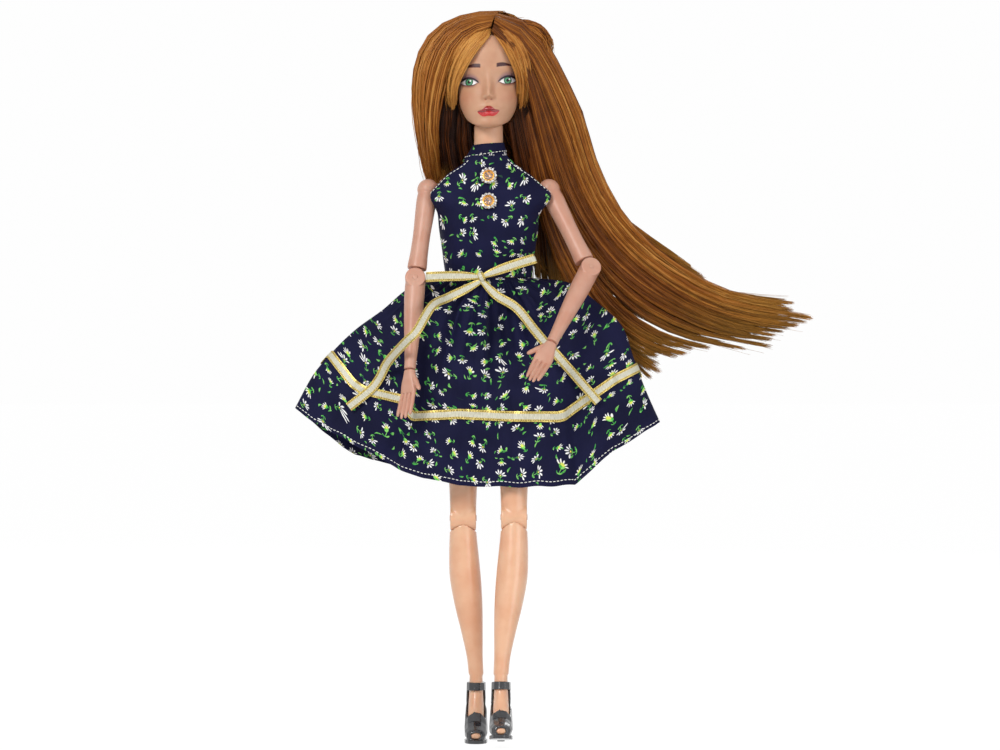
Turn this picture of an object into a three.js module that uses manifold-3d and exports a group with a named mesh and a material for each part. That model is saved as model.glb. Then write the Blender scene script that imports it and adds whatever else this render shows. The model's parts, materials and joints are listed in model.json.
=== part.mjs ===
// A jointed fashion doll in a printed cotton halter dress, standing upright.
// Millimetres, +Z up. The doll faces -Y and its left side is at +X.
// The plastic body is shells, links, limbs and pins. The soft vinyl head, the rooted hair, the dress
// with its trimmings and the shoes are pieces of their own.
import * as THREE from "three";
import { mergeVertices } from "three/addons/utils/BufferGeometryUtils.js";
import Module from "manifold-3d";

const wasm = await Module();
wasm.setup();

const { PI, abs, cos, sin, sign, min, max, floor } = Math;
const degree = PI / 180;
const weld = 1e-4; // vertices closer than this are one
const xAxis = new THREE.Vector3(1, 0, 0);

// Clearances that all pieces share.
const fit = {
  seat: 0.3, // between pieces that rest on each other
  running: 0.2, // round a pin, a peg or a stem that turns
  overrun: 2, // how far a cutting tool passes the face that it cuts
};

// Facets round each kind of form.
const facets = {
  pin: 6,
  stem: 8,
  bore: 10,
  cap: 10,
  limb: 11,
  disc: 12,
  barrel: 14,
  trunk: 20,
  head: 22,
  skirt: 58,
};

// Lengths of the doll's stretches from the soles up. Each starts where the one before it ends.
const stretch = {
  shin: 91, // from the soles to the knee
  thigh: 62, // to the hip
  belly: 36.6, // to the waist
  chest: 36, // to the shoulder
  throat: 24.8, // to the chin
  face: 45.2, // to the top of the skull
};

// Heights above the soles.
const height = { knee: stretch.shin };
height.hip = height.knee + stretch.thigh;
height.waist = height.hip + stretch.belly;
height.shoulder = height.waist + stretch.chest;
height.chin = height.shoulder + stretch.throat;
height.crown = height.chin + stretch.face;

// How the limbs are turned in the pose on show. Spread is away from the body.
const pose = {
  right: {
    swing: 16 * degree,
    spread: 7.3 * degree,
    elbowTurn: 0,
    elbowBend: 4.3 * degree,
    wrist: 42 * degree,
    hipSwing: 0,
  },
  left: {
    swing: 19.8 * degree,
    spread: 24.5 * degree,
    elbowTurn: 14.2 * degree,
    elbowBend: 49.8 * degree,
    wrist: -8 * degree,
    hipSwing: 8.5 * degree,
  },
};

const torso = {
  lowRise: 5, // from the hip to the lower end of the lofted trunk
  topRise: 13, // from the shoulder to its upper end
  halfWidth: 19.6,
  halfDepth: 11.6,
  wall: 1.8,
  hollowDrop: 5.1, // from the shoulder to the top of the hollow
  webRise: 15, // from the hip to the floor of the hollow
  seam: 0.3,
  webHalfWidth: 2.3, // the web between the legs that carries both hip stems
  webHalfDepth: 6.4,
};

const trunkLow = height.hip + torso.lowRise;
const trunkTop = height.shoulder + torso.topRise;
const hollowTop = height.shoulder - torso.hollowDrop;
const hollowFloor = height.hip + torso.webRise;

const neck = {
  back: 1, // how far the neck stands behind the middle of the body
  radius: 5.95,
  flangeRadius: 7.4,
  flangeThick: 2,
  flangeDrop: 7.8, // from the shoulder to the underside of the flange
  headSink: 1.9, // how far the neck reaches into the head
  stemRadius: 4,
  knobRadius: 6,
  knobRise: 7.2, // from the chin to the underside of the knob
  knobHeight: 5.4,
};

const flangeLow = height.shoulder - neck.flangeDrop;
const neckTop = height.chin + neck.headSink;
const knobLow = height.chin + neck.knobRise;

const head = {
  halfWidth: 13.2,
  front: 13,
  back: 15.4,
  wall: 2.4,
  noseOut: 2.9,
  noseHalfWidth: 1.9,
  noseHeight: 4.6,
  nostrilDrop: 1.6,
  bridgeOut: 1.1,
  eyeSpacing: 15.9,
  eyeHalfWidth: 3.9,
  eyeHalfHeight: 2.6,
  eyeSink: 1.3,
  browOut: 0.6,
  browRise: 5.6,
  mouthHalfWidth: 4.4,
  lipHalfHeight: 1.5,
  lipOut: 1.1,
  chinOut: 0.7,
  chinRise: 2.2,
  cheekOut: 0.5,
};

// Places of the features, up from the chin, in shares of the face.
const mouthShare = 0.173;
const noseShare = 0.301;
const eyeShare = 0.4425;
const featureAt = (share) => height.chin + share * stretch.face;

const shoulder = {
  x: 24.8,
  capRadius: 4.4,
  tangThick: 2.4,
  tangRadius: 2.7,
  neckHalfHeight: 1.5,
  stemRadius: 2.1,
  stemLength: 8.6, // from the ball end to the flange's far face
  flangeRadius: 3.4,
  flangeThick: 1.6,
  pinRadius: 0.75,
};

const arm = {
  upperLength: 39,
  upperHalfWidth: 4.15,
  upperHalfDepth: 4.2,
  elbowDrop: 4.5, // from the flat end of the upper arm to the elbow pin
  forearmLength: 38,
  forearmHalfWidth: 4.15,
  forearmHalfDepth: 4.2,
  barrelRadius: 4.15,
  barrelHalfLength: 4.05,
  tangThick: 2.2,
  tangRadius: 2.7,
  neckHalfWidth: 1.5,
  pegRadius: 1.8,
  pegLength: 6.4,
  pinRadius: 0.75,
  pinProud: 0.25,
};

const hand = {
  pegRadius: 1.2,
  pegLength: 4.4,
  palmLength: 10,
  palmHalfWidth: 3.9,
  palmHalfThick: 1.75,
  fingerLength: 11.2,
  fingerRadius: 0.92,
  fingerGap: 0.12,
  fingerFan: 2 * degree, // from each finger to the next
  thumbLength: 8.6,
  thumbRadius: 1.1,
  thumbOut: 34 * degree,
};

const hip = {
  x: 10.4,
  capRadius: 7.3,
  sweep: 9.4, // radius that a swinging thigh needs round the hip
  tangThick: 3,
  tangRadius: 3.6,
  neckHalfHeight: 1.7,
  stemRadius: 1.8,
  flangeRadius: 3,
  flangeThick: 1,
  pinRadius: 0.9,
  inward: 4 * degree,
};

const leg = {
  thighHalfWidth: 8.5,
  thighHalfDepth: 8.6,
  barrelRadius: 5.2,
  barrelHalfLength: 5.3,
  tongueThick: 3.2,
  tongueRadius: 3.6,
  neckHalfDepth: 2.4,
  pinRadius: 0.9,
  pinProud: 0.2,
  calfHalfWidth: 6.4,
  calfHalfDepth: 6.8,
  ankleHeight: 27,
  ankleIn: 5.3, // how far the ankle stands inward of the knee
  bendRoom: 38 * degree, // how far round the pin the back of the calf is cut away
};

const foot = {
  halfWidth: 3.6,
  halfHeight: 5,
  reach: 15.6,
};

const shoe = {
  wall: 0.9,
  soleThick: 1.5,
  soleHalfWidth: 4.7,
  soleLength: 14,
  soleToe: 18.6, // how far the sole reaches in front of the ankle
  strapHeight: 3.2,
  ankleStrap: 20.6,
  instepLow: 12.4,
  toeEdge: 8.6,
  counterFront: 1.2,
  heelBack: 3.6,
  heelHigh: 12,
  heelTopRadius: 2.6,
  heelTipRadius: 1.5,
  instepTilt: 30 * degree,
  bedTilt: 33 * degree,
  bedHigh: 12,
};

const dress = {
  ease: 0.35, // between the body and the cloth
  halfWidth: 20.1,
  halfDepth: 15.2,
  topRise: 13.6, // from the shoulder to the top edge of the halter
  armhole: 8.6, // radius of the bare ring round each shoulder
  collarHeight: 5,
  collarThick: 1,
  collarEase: 1.5,
  closureHalfWidth: 2.6,
  closureThick: 0.7,
  closureLowRise: 3.4, // from the waist to the lower end of the closure
  closureTopRise: 5.4, // from the shoulder to its upper end
};

const skirt = {
  cloth: 0.8,
  waistHalfWidth: 19.3,
  waistHalfDepth: 11.9,
  waistDrop: 0.3,
  drop: 85.8, // from the waist to the hem in the middle
  rightReach: 79.2,
  rightDrop: 53.6,
  leftReach: 71,
  leftDrop: 59.2,
  front: 19,
  back: 20.5,
  foldOut: 1.5,
  folds: 11,
  gatherOut: 0.35,
  gathers: 22,
};

const trim = {
  width: 4,
  thick: 0.5,
  atShare: 0.655,
};

const bow = {
  x: -2.8,
  knotHalfWidth: 2.6,
  knotHalfHeight: 2.1,
  knotHalfThick: 1.6,
  loopHalfThick: 1.1,
  loopHalfWidth: 2,
  leftLoop: 23.5,
  leftLoopTurn: -112 * degree,
  rightLoop: 22.5,
  rightLoopTurn: 87 * degree,
  tailWidth: 3.6,
  tailThick: 0.5,
  leftTailAside: 47.5,
  leftTailDrop: 51,
  rightTailAside: 54,
  rightTailDrop: 53,
  proud: 19, // how far the right tail stands off the skirt where it lies over the forearm
};

const button = {
  radius: 3.3,
  cupThick: 1,
  beadRadius: 0.72,
  beads: 13,
  stoneRadius: 2,
  tableRadius: 1.2, // of the stone's flat top
  stoneHigh: 1.1,
  upperRise: 5, // from the shoulder to the middle of the upper button
  lowerDrop: 5.4,
};

const hair = {
  thick: 3.4,
  scalp: 0.7, // between the skull and the rooted hair
  line: 5, // how far the hairline stands in front of the middle of the head at the chin
  lineTilt: 6 * degree,
  nape: 3,
  reach: 136, // from the middle of the doll to the end of the swept hair
  nearReach: 27.2, // of the locks near the face and the neck
  drop: 125,
  depth: 20,
  lockHalfWidth: 20,
  lockHalfDepth: 10,
};

// Finishes.
const finish = (color, roughness, metalness = 0) =>
  new THREE.MeshStandardMaterial({ color, roughness, metalness });
const vinyl = finish("#e2b08c", 0.5);
const armPlastic = finish("#e3ab90", 0.42);
const legPlastic = finish("#dba67c", 0.3);
const linkPlastic = finish("#d49f80", 0.5);
const hairFibre = finish("#9a5f26", 0.4);
const print = finish("#1d1f3f", 0.85);
const goldRibbon = finish("#d9c27a", 0.35, 0.4);
const goldMetal = finish("#c99a4a", 0.25, 0.9);
const amberStone = finish("#a8742c", 0.15, 0.2);
const shoePlastic = finish("#101116", 0.18);
const closureTape = finish("#20223c", 0.95);

// Solids.

function solid(geometry) {
  const bare = new THREE.BufferGeometry();
  bare.setAttribute("position", geometry.getAttribute("position").clone());
  if (geometry.index) bare.setIndex(geometry.index.clone());
  const welded = mergeVertices(bare, weld);
  return new wasm.Manifold(
    new wasm.Mesh({
      numProp: 3,
      vertProperties: new Float32Array(welded.getAttribute("position").array),
      triVerts: new Uint32Array(welded.index.array),
    }),
  );
}

function shapeOf(body) {
  const { vertProperties, triVerts } = body.getMesh();
  const geometry = new THREE.BufferGeometry();
  geometry.setAttribute("position", new THREE.BufferAttribute(vertProperties, 3));
  geometry.setIndex(new THREE.BufferAttribute(triVerts, 1));
  geometry.computeVertexNormals();
  return geometry;
}

// A closed mesh from points and faces, turned so that its faces point out.
function closed(points, faces) {
  let volume = 0;
  for (const [a, b, c] of faces) {
    volume += points[a].dot(new THREE.Vector3().crossVectors(points[b], points[c]));
  }
  const order = volume < 0 ? faces.map(([a, b, c]) => [a, c, b]) : faces;
  const geometry = new THREE.BufferGeometry().setFromPoints(points);
  geometry.setIndex(order.flat());
  return solid(geometry);
}

// Joins rings of equal count. Each end is a fan round its own middle.
function loft(rings) {
  const count = rings[0].length;
  const points = rings.flat();
  const faces = [];
  for (let r = 0; r + 1 < rings.length; r += 1) {
    for (let i = 0; i < count; i += 1) {
      const a = r * count + i;
      const b = r * count + ((i + 1) % count);
      faces.push([a, b, b + count], [a, b + count, a + count]);
    }
  }
  const middle = (ring) => ring.reduce((sum, p) => sum.add(p), new THREE.Vector3()).divideScalar(count);
  const start = points.push(middle(rings[0])) - 1;
  const end = points.push(middle(rings.at(-1))) - 1;
  const lastRing = (rings.length - 1) * count;
  for (let i = 0; i < count; i += 1) {
    const next = (i + 1) % count;
    faces.push([start, next, i], [end, lastRing + i, lastRing + next]);
  }
  return closed(points, faces);
}

const range = (count, make) => Array.from({ length: count }, (_, i) => make(i));
const columns = 5;

// A smooth row between the rows of a table, where a missing number is 0. Share runs from 0 at the
// first row to 1 at the last.
function rowAt(rows, share) {
  const last = rows.length - 1;
  const at = min(max(share, 0), 1) * last;
  const i = min(floor(at), last - 1);
  const f = at - i;
  const near = [max(i - 1, 0), i, i + 1, min(i + 2, last)];
  return range(columns, (k) => {
    const [p, a, b, n] = near.map((row) => rows[row][k] ?? 0);
    return a + (f * (b - p + f * (2 * p - 5 * a + 4 * b - n + f * (3 * (a - b) + n - p)))) / 2;
  });
}

// An oval ring that lies level. Power 2 is an ellipse, and more squares it.
function oval({ x = 0, y = 0, z, width, front, back = front, power = 2, sides }) {
  return range(sides, (i) => {
    const angle = (2 * PI * i) / sides;
    const across = cos(angle);
    const along = sin(angle);
    const depth = along < 0 ? front : back;
    return new THREE.Vector3(
      x + width * sign(across) * abs(across) ** (2 / power),
      y + depth * sign(along) * abs(along) ** (2 / power),
      z,
    );
  });
}

const cylinder = (radius, length, sides = facets.disc, topRadius = radius) =>
  solid(new THREE.CylinderGeometry(topRadius, radius, length, sides));
const alongX = (body) => body.rotate([0, 0, 90]);
const alongZ = (body) => body.rotate([90, 0, 0]);
const box = (x, y, z) => solid(new THREE.BoxGeometry(x, y, z));
const ball = (radius, sides = facets.cap) => solid(new THREE.SphereGeometry(radius, sides, sides / 2));

// A limb that hangs from its pivot along -Z. Rows hold shares of the length, the half width and
// the half depth, then shares of the half width and half depth by which the section moves.
function limb(rows, size) {
  const { length, halfWidth, halfDepth, from = 0, rings = 7, sides = facets.limb, power = 2 } = size;
  return loft(
    range(rings + 1, (i) => {
      const [down, wide, deep, aside = 0, aft = 0] = rowAt(rows, i / rings);
      return oval({
        x: aside * halfWidth,
        y: aft * halfDepth,
        z: from - down * length,
        width: wide * halfWidth,
        front: deep * halfDepth,
        sides,
        power,
      });
    }),
  );
}

const doll = new THREE.Group();

function add(name, body, look, parent = doll) {
  const mesh = new THREE.Mesh(shapeOf(body), look);
  mesh.name = name;
  parent.add(mesh);
  return mesh;
}

function frame(name, parent, position, axis = null, angle = 0) {
  const group = new THREE.Group();
  group.name = name;
  group.position.set(...position);
  if (axis) group.rotation[axis] = angle;
  parent.add(group);
  return group;
}

// Trunk. Rows: height share, half width share, front share, back share.
const trunkShares = [
  [0, 0.8, 0.72, 0.84],
  [0.05, 0.87, 0.86, 0.94],
  [0.13, 0.85, 0.86, 0.9],
  [0.25, 0.72, 0.76, 0.74],
  [0.38, 0.62, 0.7, 0.68],
  [0.5, 0.67, 0.78, 0.7],
  [0.62, 0.8, 1.02, 0.76],
  [0.7, 0.85, 1.08, 0.78],
  [0.78, 0.9, 0.84, 0.76],
  [0.84, 1, 0.66, 0.68],
  [0.885, 0.93, 0.62, 0.66],
  [0.925, 0.74, 0.6, 0.7],
  [0.96, 0.54, 0.6, 0.74],
  [1, 0.42, 0.62, 0.8],
];

function trunk(grow, sides = facets.trunk) {
  const rise = trunkTop - trunkLow;
  return loft(
    trunkShares.map(([up, wide, front, back]) =>
      oval({
        z: trunkLow + up * rise,
        width: wide * torso.halfWidth + grow,
        front: front * torso.halfDepth + grow,
        back: back * torso.halfDepth + grow,
        power: 2.3,
        sides,
      }),
    ),
  );
}

function slab(low, high, reach) {
  return box(2 * reach, 2 * reach, high - low).translate([0, 0, (low + high) / 2]);
}

const bodyReach = torso.halfWidth + shoulder.x;

function torsoSolid() {
  const webHigh = hollowFloor - height.hip;
  const web = box(2 * torso.webHalfWidth, 2 * torso.webHalfDepth, webHigh)
    .translate([0, 0, webHigh / 2])
    .add(alongX(cylinder(torso.webHalfDepth, 2 * torso.webHalfWidth)))
    .translate([0, 0, height.hip]);
  const hollow = trunk(-torso.wall, facets.limb).intersect(slab(hollowFloor, hollowTop, bodyReach));
  let body = trunk(0).subtract(hollow);
  for (const side of [-1, 1]) {
    // Room for the thigh: a round socket, and a straight way up to it at the front.
    const room = bodyReach;
    const socket = alongX(cylinder(hip.sweep, room, facets.barrel));
    const way = box(room, room, 2 * hip.sweep).translate([0, -room / 2, 0]);
    const start = torso.webHalfWidth + room / 2;
    body = body.subtract(socket.add(way).translate([side * start, 0, height.hip]));
  }
  const shoulderEnd = shoulder.x - shoulder.capRadius - fit.seat;
  body = body
    .add(web)
    .add(
      alongX(cylinder(shoulder.capRadius, 2 * shoulderEnd, facets.barrel))
        .translate([0, 0, height.shoulder]),
    );
  const { running } = fit;
  for (const side of [-1, 1]) {
    // A bore for the stem, and a wider pocket at its inner end for the flange.
    const inner = shoulderEnd - shoulder.stemLength + shoulder.flangeThick / 2;
    const boreLong = shoulderEnd - inner + fit.overrun;
    const stemBore = alongX(cylinder(shoulder.stemRadius + running, boreLong, facets.bore));
    const pocketLong = shoulder.flangeThick + 2 * running;
    const pocket = alongX(cylinder(shoulder.flangeRadius + running, pocketLong, facets.bore));
    body = body
      .subtract(stemBore.translate([side * (inner + boreLong / 2), 0, height.shoulder]))
      .subtract(pocket.translate([side * inner, 0, height.shoulder]));
  }
  const hipBore = alongX(cylinder(hip.stemRadius + running, bodyReach, facets.bore));
  const pocketHalf = hip.flangeThick + fit.seat;
  const hipPocket = alongX(cylinder(hip.flangeRadius + running, 2 * pocketHalf, facets.bore));
  const neckLong = trunkTop - flangeLow;
  const neckBore = alongZ(cylinder(neck.radius + running, neckLong, facets.barrel));
  const seatLong = neck.flangeThick + 2 * running;
  const neckSeat = alongZ(cylinder(neck.flangeRadius + running, seatLong, facets.barrel));
  return body
    .subtract(hipBore.translate([0, 0, height.hip]))
    .subtract(hipPocket.translate([0, 0, height.hip]))
    .subtract(neckBore.translate([0, neck.back, trunkTop + fit.overrun - neckLong / 2]))
    .subtract(neckSeat.translate([0, neck.back, flangeLow + neck.flangeThick / 2]));
}

const wholeTorso = torsoSolid();
const half = (front) => {
  const middle = (trunkLow + trunkTop) / 2;
  return box(2 * bodyReach, bodyReach, 2 * trunkTop)
    .translate([0, (front ? -1 : 1) * (bodyReach + torso.seam) / 2, middle]);
};
add("torso_front", wholeTorso.intersect(half(true)), armPlastic);
add("torso_back", wholeTorso.intersect(half(false)), armPlastic);

// Neck: a flanged post with a knob that the head snaps over.
const knobShares = [
  [1, 0.4],
  [0.72, 0.8],
  [0, 1],
];

function neckSolid() {
  const { radius, stemRadius, knobRadius, knobHeight, flangeRadius, flangeThick } = neck;
  const outline = [
    [0, flangeLow],
    [flangeRadius, flangeLow],
    [flangeRadius, flangeLow + flangeThick],
    [radius, flangeLow + flangeThick],
    [radius, neckTop],
    [stemRadius, neckTop],
    [stemRadius, knobLow],
    [knobRadius, knobLow],
    ...knobShares.map(([out, up]) => [out * knobRadius, knobLow + up * knobHeight]),
  ].map(([x, y]) => new THREE.Vector2(x, y));
  return solid(new THREE.LatheGeometry(outline, facets.barrel)).rotate([90, 0, 0]);
}
add("neck_post", neckSolid().translate([0, neck.back, 0]), armPlastic);

// Head. Rows: height share, half width share, front share, back share.
const headShares = [
  [0, 0.2, 0.86, -0.5],
  [0.03, 0.46, 0.93, -0.28],
  [0.07, 0.68, 0.955, 0.42],
  [0.12, 0.81, 0.965, 0.62],
  [0.18, 0.9, 0.97, 0.76],
  [0.25, 0.955, 0.97, 0.87],
  [0.34, 0.99, 0.97, 0.95],
  [0.45, 1, 0.98, 1],
  [0.57, 1.03, 1, 1],
  [0.69, 1.03, 0.985, 0.98],
  [0.8, 0.97, 0.91, 0.9],
  [0.89, 0.74, 0.75, 0.72],
  [0.96, 0.48, 0.48, 0.46],
  [1, 0.17, 0.16, 0.14],
];

const faceShare = 0.4; // the part of the head's depth that carries the face
const bump = (x, z, halfWidth, halfHeight) => Math.exp(-((x / halfWidth) ** 2) - (z / halfHeight) ** 2);

// How far the face stands out of the plain head at a place x, z.
function relief(x, z) {
  const eyeX = abs(x) - head.eyeSpacing / 2;
  const toEye = z - featureAt(eyeShare);
  const toNose = z - featureAt(noseShare);
  const noseReach = toNose > 0 ? head.noseHeight : head.nostrilDrop;
  return (
    head.noseOut * bump(x, toNose, head.noseHalfWidth, noseReach) +
    head.bridgeOut * bump(x, toEye, head.noseHalfWidth, head.browRise) -
    head.eyeSink * bump(eyeX, toEye, head.eyeHalfWidth, head.eyeHalfHeight) +
    head.browOut * bump(eyeX, toEye - head.browRise, 2 * head.eyeHalfWidth, head.eyeHalfHeight) +
    head.lipOut * bump(x, z - featureAt(mouthShare), head.mouthHalfWidth, head.lipHalfHeight) +
    head.chinOut * bump(x, z - height.chin - head.chinRise, head.mouthHalfWidth, head.chinRise) +
    head.cheekOut * bump(eyeX, z - featureAt(noseShare), head.eyeHalfWidth, head.eyeHalfWidth)
  );
}

function headSolid(grow, withFace, rings = 18, sides = facets.head) {
  const rise = height.crown - height.chin;
  return loft(
    range(rings + 1, (i) => {
      const [up, wide, front, back] = rowAt(headShares, i / rings);
      const z = height.chin - grow + up * (rise + 2 * grow);
      const ring = oval({
        y: (back * head.back - front * head.front) / 2,
        z,
        width: wide * head.halfWidth + grow,
        front: (back * head.back + front * head.front) / 2 + grow,
        power: 2.15,
        sides,
      });
      if (!withFace) return ring;
      return ring.map((p) => {
        const facing = max(0, -p.y / head.front);
        p.y -= facing > faceShare ? relief(p.x, p.z) * min(1, 2 * facing) : 0;
        return p;
      });
    }),
  );
}

const skull = headSolid(0, true);
const headFrame = frame("head", doll, [0, neck.back, 0]);
function headShell() {
  const middle = (height.chin + height.crown) / 2;
  const hollow = headSolid(-head.wall, false, 8, facets.limb).intersect(
    slab(knobLow - fit.seat, height.crown, bodyReach),
  );
  const knobHigh = middle - knobLow + fit.seat;
  const knobRoom = alongZ(cylinder(neck.knobRadius + 2 * fit.seat, knobHigh, facets.barrel))
    .translate([0, 0, (middle + knobLow - fit.seat) / 2]);
  const stemHole = alongZ(cylinder(neck.stemRadius + fit.seat, 2 * (knobLow - height.chin), facets.barrel))
    .translate([0, 0, knobLow]);
  const neckHigh = 2 * (neckTop - height.chin + fit.seat);
  const neckRoom = alongZ(cylinder(neck.radius + 2 * fit.seat, neckHigh, facets.barrel))
    .translate([0, 0, height.chin]);
  return skull
    .translate([0, -neck.back, 0])
    .subtract(hollow.translate([0, -neck.back, 0]))
    .subtract(knobRoom)
    .subtract(stemHole)
    .subtract(neckRoom);
}
add("head_shell", headShell(), vinyl, headFrame);

// Arms. Rows: length share, half width share, half depth share, aside share, aft share.
const upperArmShares = [
  [0, 0.92, 0.92],
  [0.12, 0.99, 1],
  [0.3, 0.94, 1],
  [0.55, 0.86, 0.93],
  [0.8, 0.88, 0.93],
  [0.94, 0.95, 0.97],
  [1, 0.95, 0.97],
];
const forearmShares = [
  [0, 0.96, 0.96],
  [0.1, 0.99, 0.98],
  [0.25, 0.97, 0.98],
  [0.5, 0.85, 0.86],
  [0.75, 0.68, 0.7],
  [0.92, 0.58, 0.66],
  [1, 0.58, 0.68],
];

// The tongue of a link: a disc on the pin and a neck that leaves it along one direction in the
// plane of the disc. Angle 0 points along +X and a quarter turn along +Z.
function tongue({ radius, thick, neckHalf, reach, angle }) {
  const neckPiece = box(reach, thick, 2 * neckHalf).translate([reach / 2, 0, 0]).rotate([0, -angle, 0]);
  return cylinder(radius, thick).add(neckPiece);
}

// The room that a tongue needs inside a limb: its disc, and a box from one direction round to +Z.
function slot({ radius, thick, neckHalf, reach, toward, drop = 0 }) {
  const gap = fit.running;
  const low = neckHalf + gap + drop;
  const wide = reach + neckHalf + gap;
  const high = reach + low;
  const block = box(wide, thick + 2 * gap, high)
    .translate([toward * (wide / 2 - neckHalf - gap), 0, high / 2 - low]);
  return cylinder(radius + gap, thick + 2 * gap).add(block);
}

const pinBody = (radius, halfLength) => cylinder(radius, 2 * halfLength, facets.pin);
const pinBore = (radius, reach) => cylinder(radius + fit.running, 2 * reach, facets.pin);

function shoulderLink(side) {
  const inner = shoulder.capRadius + fit.seat;
  const stem = alongX(cylinder(shoulder.stemRadius, shoulder.stemLength, facets.stem))
    .translate([-side * (inner + shoulder.stemLength / 2), 0, 0]);
  const flange = alongX(cylinder(shoulder.flangeRadius, shoulder.flangeThick, facets.stem))
    .translate([-side * (inner + shoulder.stemLength - shoulder.flangeThick / 2), 0, 0]);
  return tongue({
    radius: shoulder.tangRadius,
    thick: shoulder.tangThick,
    neckHalf: shoulder.neckHalfHeight,
    reach: inner + shoulder.stemRadius / 2,
    angle: side > 0 ? 180 : 0,
  })
    .add(stem)
    .add(flange)
    .subtract(pinBore(shoulder.pinRadius, shoulder.capRadius));
}

function upperArm(side) {
  const length = arm.upperLength - arm.elbowDrop;
  const shaft = limb(upperArmShares, {
    length: length - shoulder.capRadius / 4,
    from: -shoulder.capRadius / 4,
    halfWidth: arm.upperHalfWidth,
    halfDepth: arm.upperHalfDepth,
  });
  const bore = alongZ(cylinder(arm.pegRadius + fit.running, 2 * (arm.pegLength + fit.seat), facets.bore))
    .translate([0, 0, -length]);
  return ball(shoulder.capRadius)
    .add(shaft)
    .subtract(slot({
      radius: shoulder.tangRadius,
      thick: shoulder.tangThick,
      neckHalf: shoulder.neckHalfHeight,
      reach: shoulder.capRadius + fit.overrun,
      toward: -side,
    }))
    .subtract(pinBore(shoulder.pinRadius, bodyReach))
    .subtract(bore);
}

function elbowLink() {
  const pegFrom = arm.barrelRadius + fit.running;
  const pegHigh = arm.elbowDrop + arm.pegLength;
  const peg = alongZ(cylinder(arm.pegRadius, pegHigh - pegFrom, facets.stem))
    .translate([0, 0, (pegHigh + pegFrom) / 2]);
  return tongue({
    radius: arm.tangRadius,
    thick: arm.tangThick,
    neckHalf: arm.neckHalfWidth,
    reach: arm.elbowDrop + arm.pegLength / 2,
    angle: 90,
  })
    .add(peg)
    .subtract(pinBore(arm.pinRadius, arm.tangThick));
}

function forearm(side) {
  const bore = alongZ(cylinder(hand.pegRadius + fit.running, 2 * (hand.pegLength + fit.seat), facets.pin))
    .translate([0, 0, -arm.forearmLength]);
  const shaft = limb(forearmShares, {
    length: arm.forearmLength - fit.seat,
    from: -fit.seat,
    halfWidth: arm.forearmHalfWidth,
    halfDepth: arm.forearmHalfDepth,
  });
  return cylinder(arm.barrelRadius, 2 * arm.barrelHalfLength, facets.barrel)
    .add(shaft)
    .subtract(slot({
      radius: arm.tangRadius,
      thick: arm.tangThick,
      neckHalf: arm.neckHalfWidth,
      reach: arm.barrelRadius + fit.overrun,
      toward: -side,
    }))
    .subtract(pinBore(arm.pinRadius, bodyReach))
    .subtract(bore);
}

// Hands. The palm faces +Y, the fingers hang, and the thumb stands on the inner side.
const palmShares = [
  [0, 0.6, 1],
  [0.25, 0.7, 1.05],
  [0.6, 0.93, 1],
  [0.85, 1, 0.82],
  [1, 0.96, 0.66],
];
const fingerShares = [
  [0, 1, 1],
  [0.4, 0.97, 0.97],
  [0.8, 0.85, 0.85],
  [0.95, 0.62, 0.62],
  [1, 0.25, 0.25],
];
const fingerLengthShares = [0.82, 0.96, 1, 0.92];
const fingerCurl = [5, 9, 12, 16];

function handSolid(side) {
  const pitch = 2 * hand.fingerRadius + hand.fingerGap;
  let body = limb(palmShares, {
    length: hand.palmLength,
    from: -fit.seat,
    halfWidth: hand.palmHalfWidth,
    halfDepth: hand.palmHalfThick,
    rings: 4,
    sides: 12,
    power: 2.6,
  }).add(alongZ(cylinder(hand.pegRadius, hand.pegLength + fit.overrun, facets.pin))
    .translate([0, 0, (hand.pegLength - fit.overrun) / 2]));
  const digit = (length, radius) =>
    limb(fingerShares, { length, halfWidth: radius, halfDepth: radius, rings: 4, sides: 6 });
  fingerLengthShares.forEach((share, i) => {
    const place = side * (i - (fingerLengthShares.length - 1) / 2);
    body = body.add(digit(share * hand.fingerLength + hand.fingerRadius, hand.fingerRadius)
      .rotate([-fingerCurl[i], (place * hand.fingerFan) / degree, 0])
      .translate([place * pitch, 0, -hand.palmLength + hand.fingerRadius / 2]));
  });
  return body.add(digit(hand.thumbLength, hand.thumbRadius)
    .rotate([-fingerCurl[0], side * hand.thumbOut / degree, 0])
    .translate([-side * hand.palmHalfWidth / 2, 0, -hand.palmLength * palmShares[1][0]]));
}

const sides = [["right", -1], ["left", 1]];
for (const [label, side] of sides) {
  const turn = pose[label];
  const shoulderAt = [side * shoulder.x, 0, height.shoulder];
  const swing = frame(`${label}_shoulder_swing`, doll, shoulderAt, "x", -turn.swing);
  add(`${label}_shoulder_link`, shoulderLink(side), linkPlastic, swing);
  const spread = frame(`${label}_shoulder_spread`, swing, [0, 0, 0], "y", -side * turn.spread);
  add(`${label}_upper_arm`, upperArm(side), armPlastic, spread);
  add(`${label}_shoulder_pin`, pinBody(shoulder.pinRadius, shoulder.capRadius), linkPlastic, spread);
  const elbowAt = [0, 0, -arm.upperLength];
  const elbow = frame(`${label}_elbow_turn`, spread, elbowAt, "z", side * turn.elbowTurn);
  add(`${label}_elbow_link`, elbowLink(), linkPlastic, elbow);
  const bend = frame(`${label}_elbow_bend`, elbow, [0, 0, 0], "y", side * turn.elbowBend);
  add(`${label}_forearm`, forearm(side), armPlastic, bend);
  add(`${label}_elbow_pin`, pinBody(arm.pinRadius, arm.barrelHalfLength + arm.pinProud), linkPlastic, bend);
  const wrist = frame(`${label}_wrist`, bend, [0, 0, -arm.forearmLength], "z", side * turn.wrist);
  add(`${label}_hand`, handSolid(side), armPlastic, wrist);
}

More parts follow.
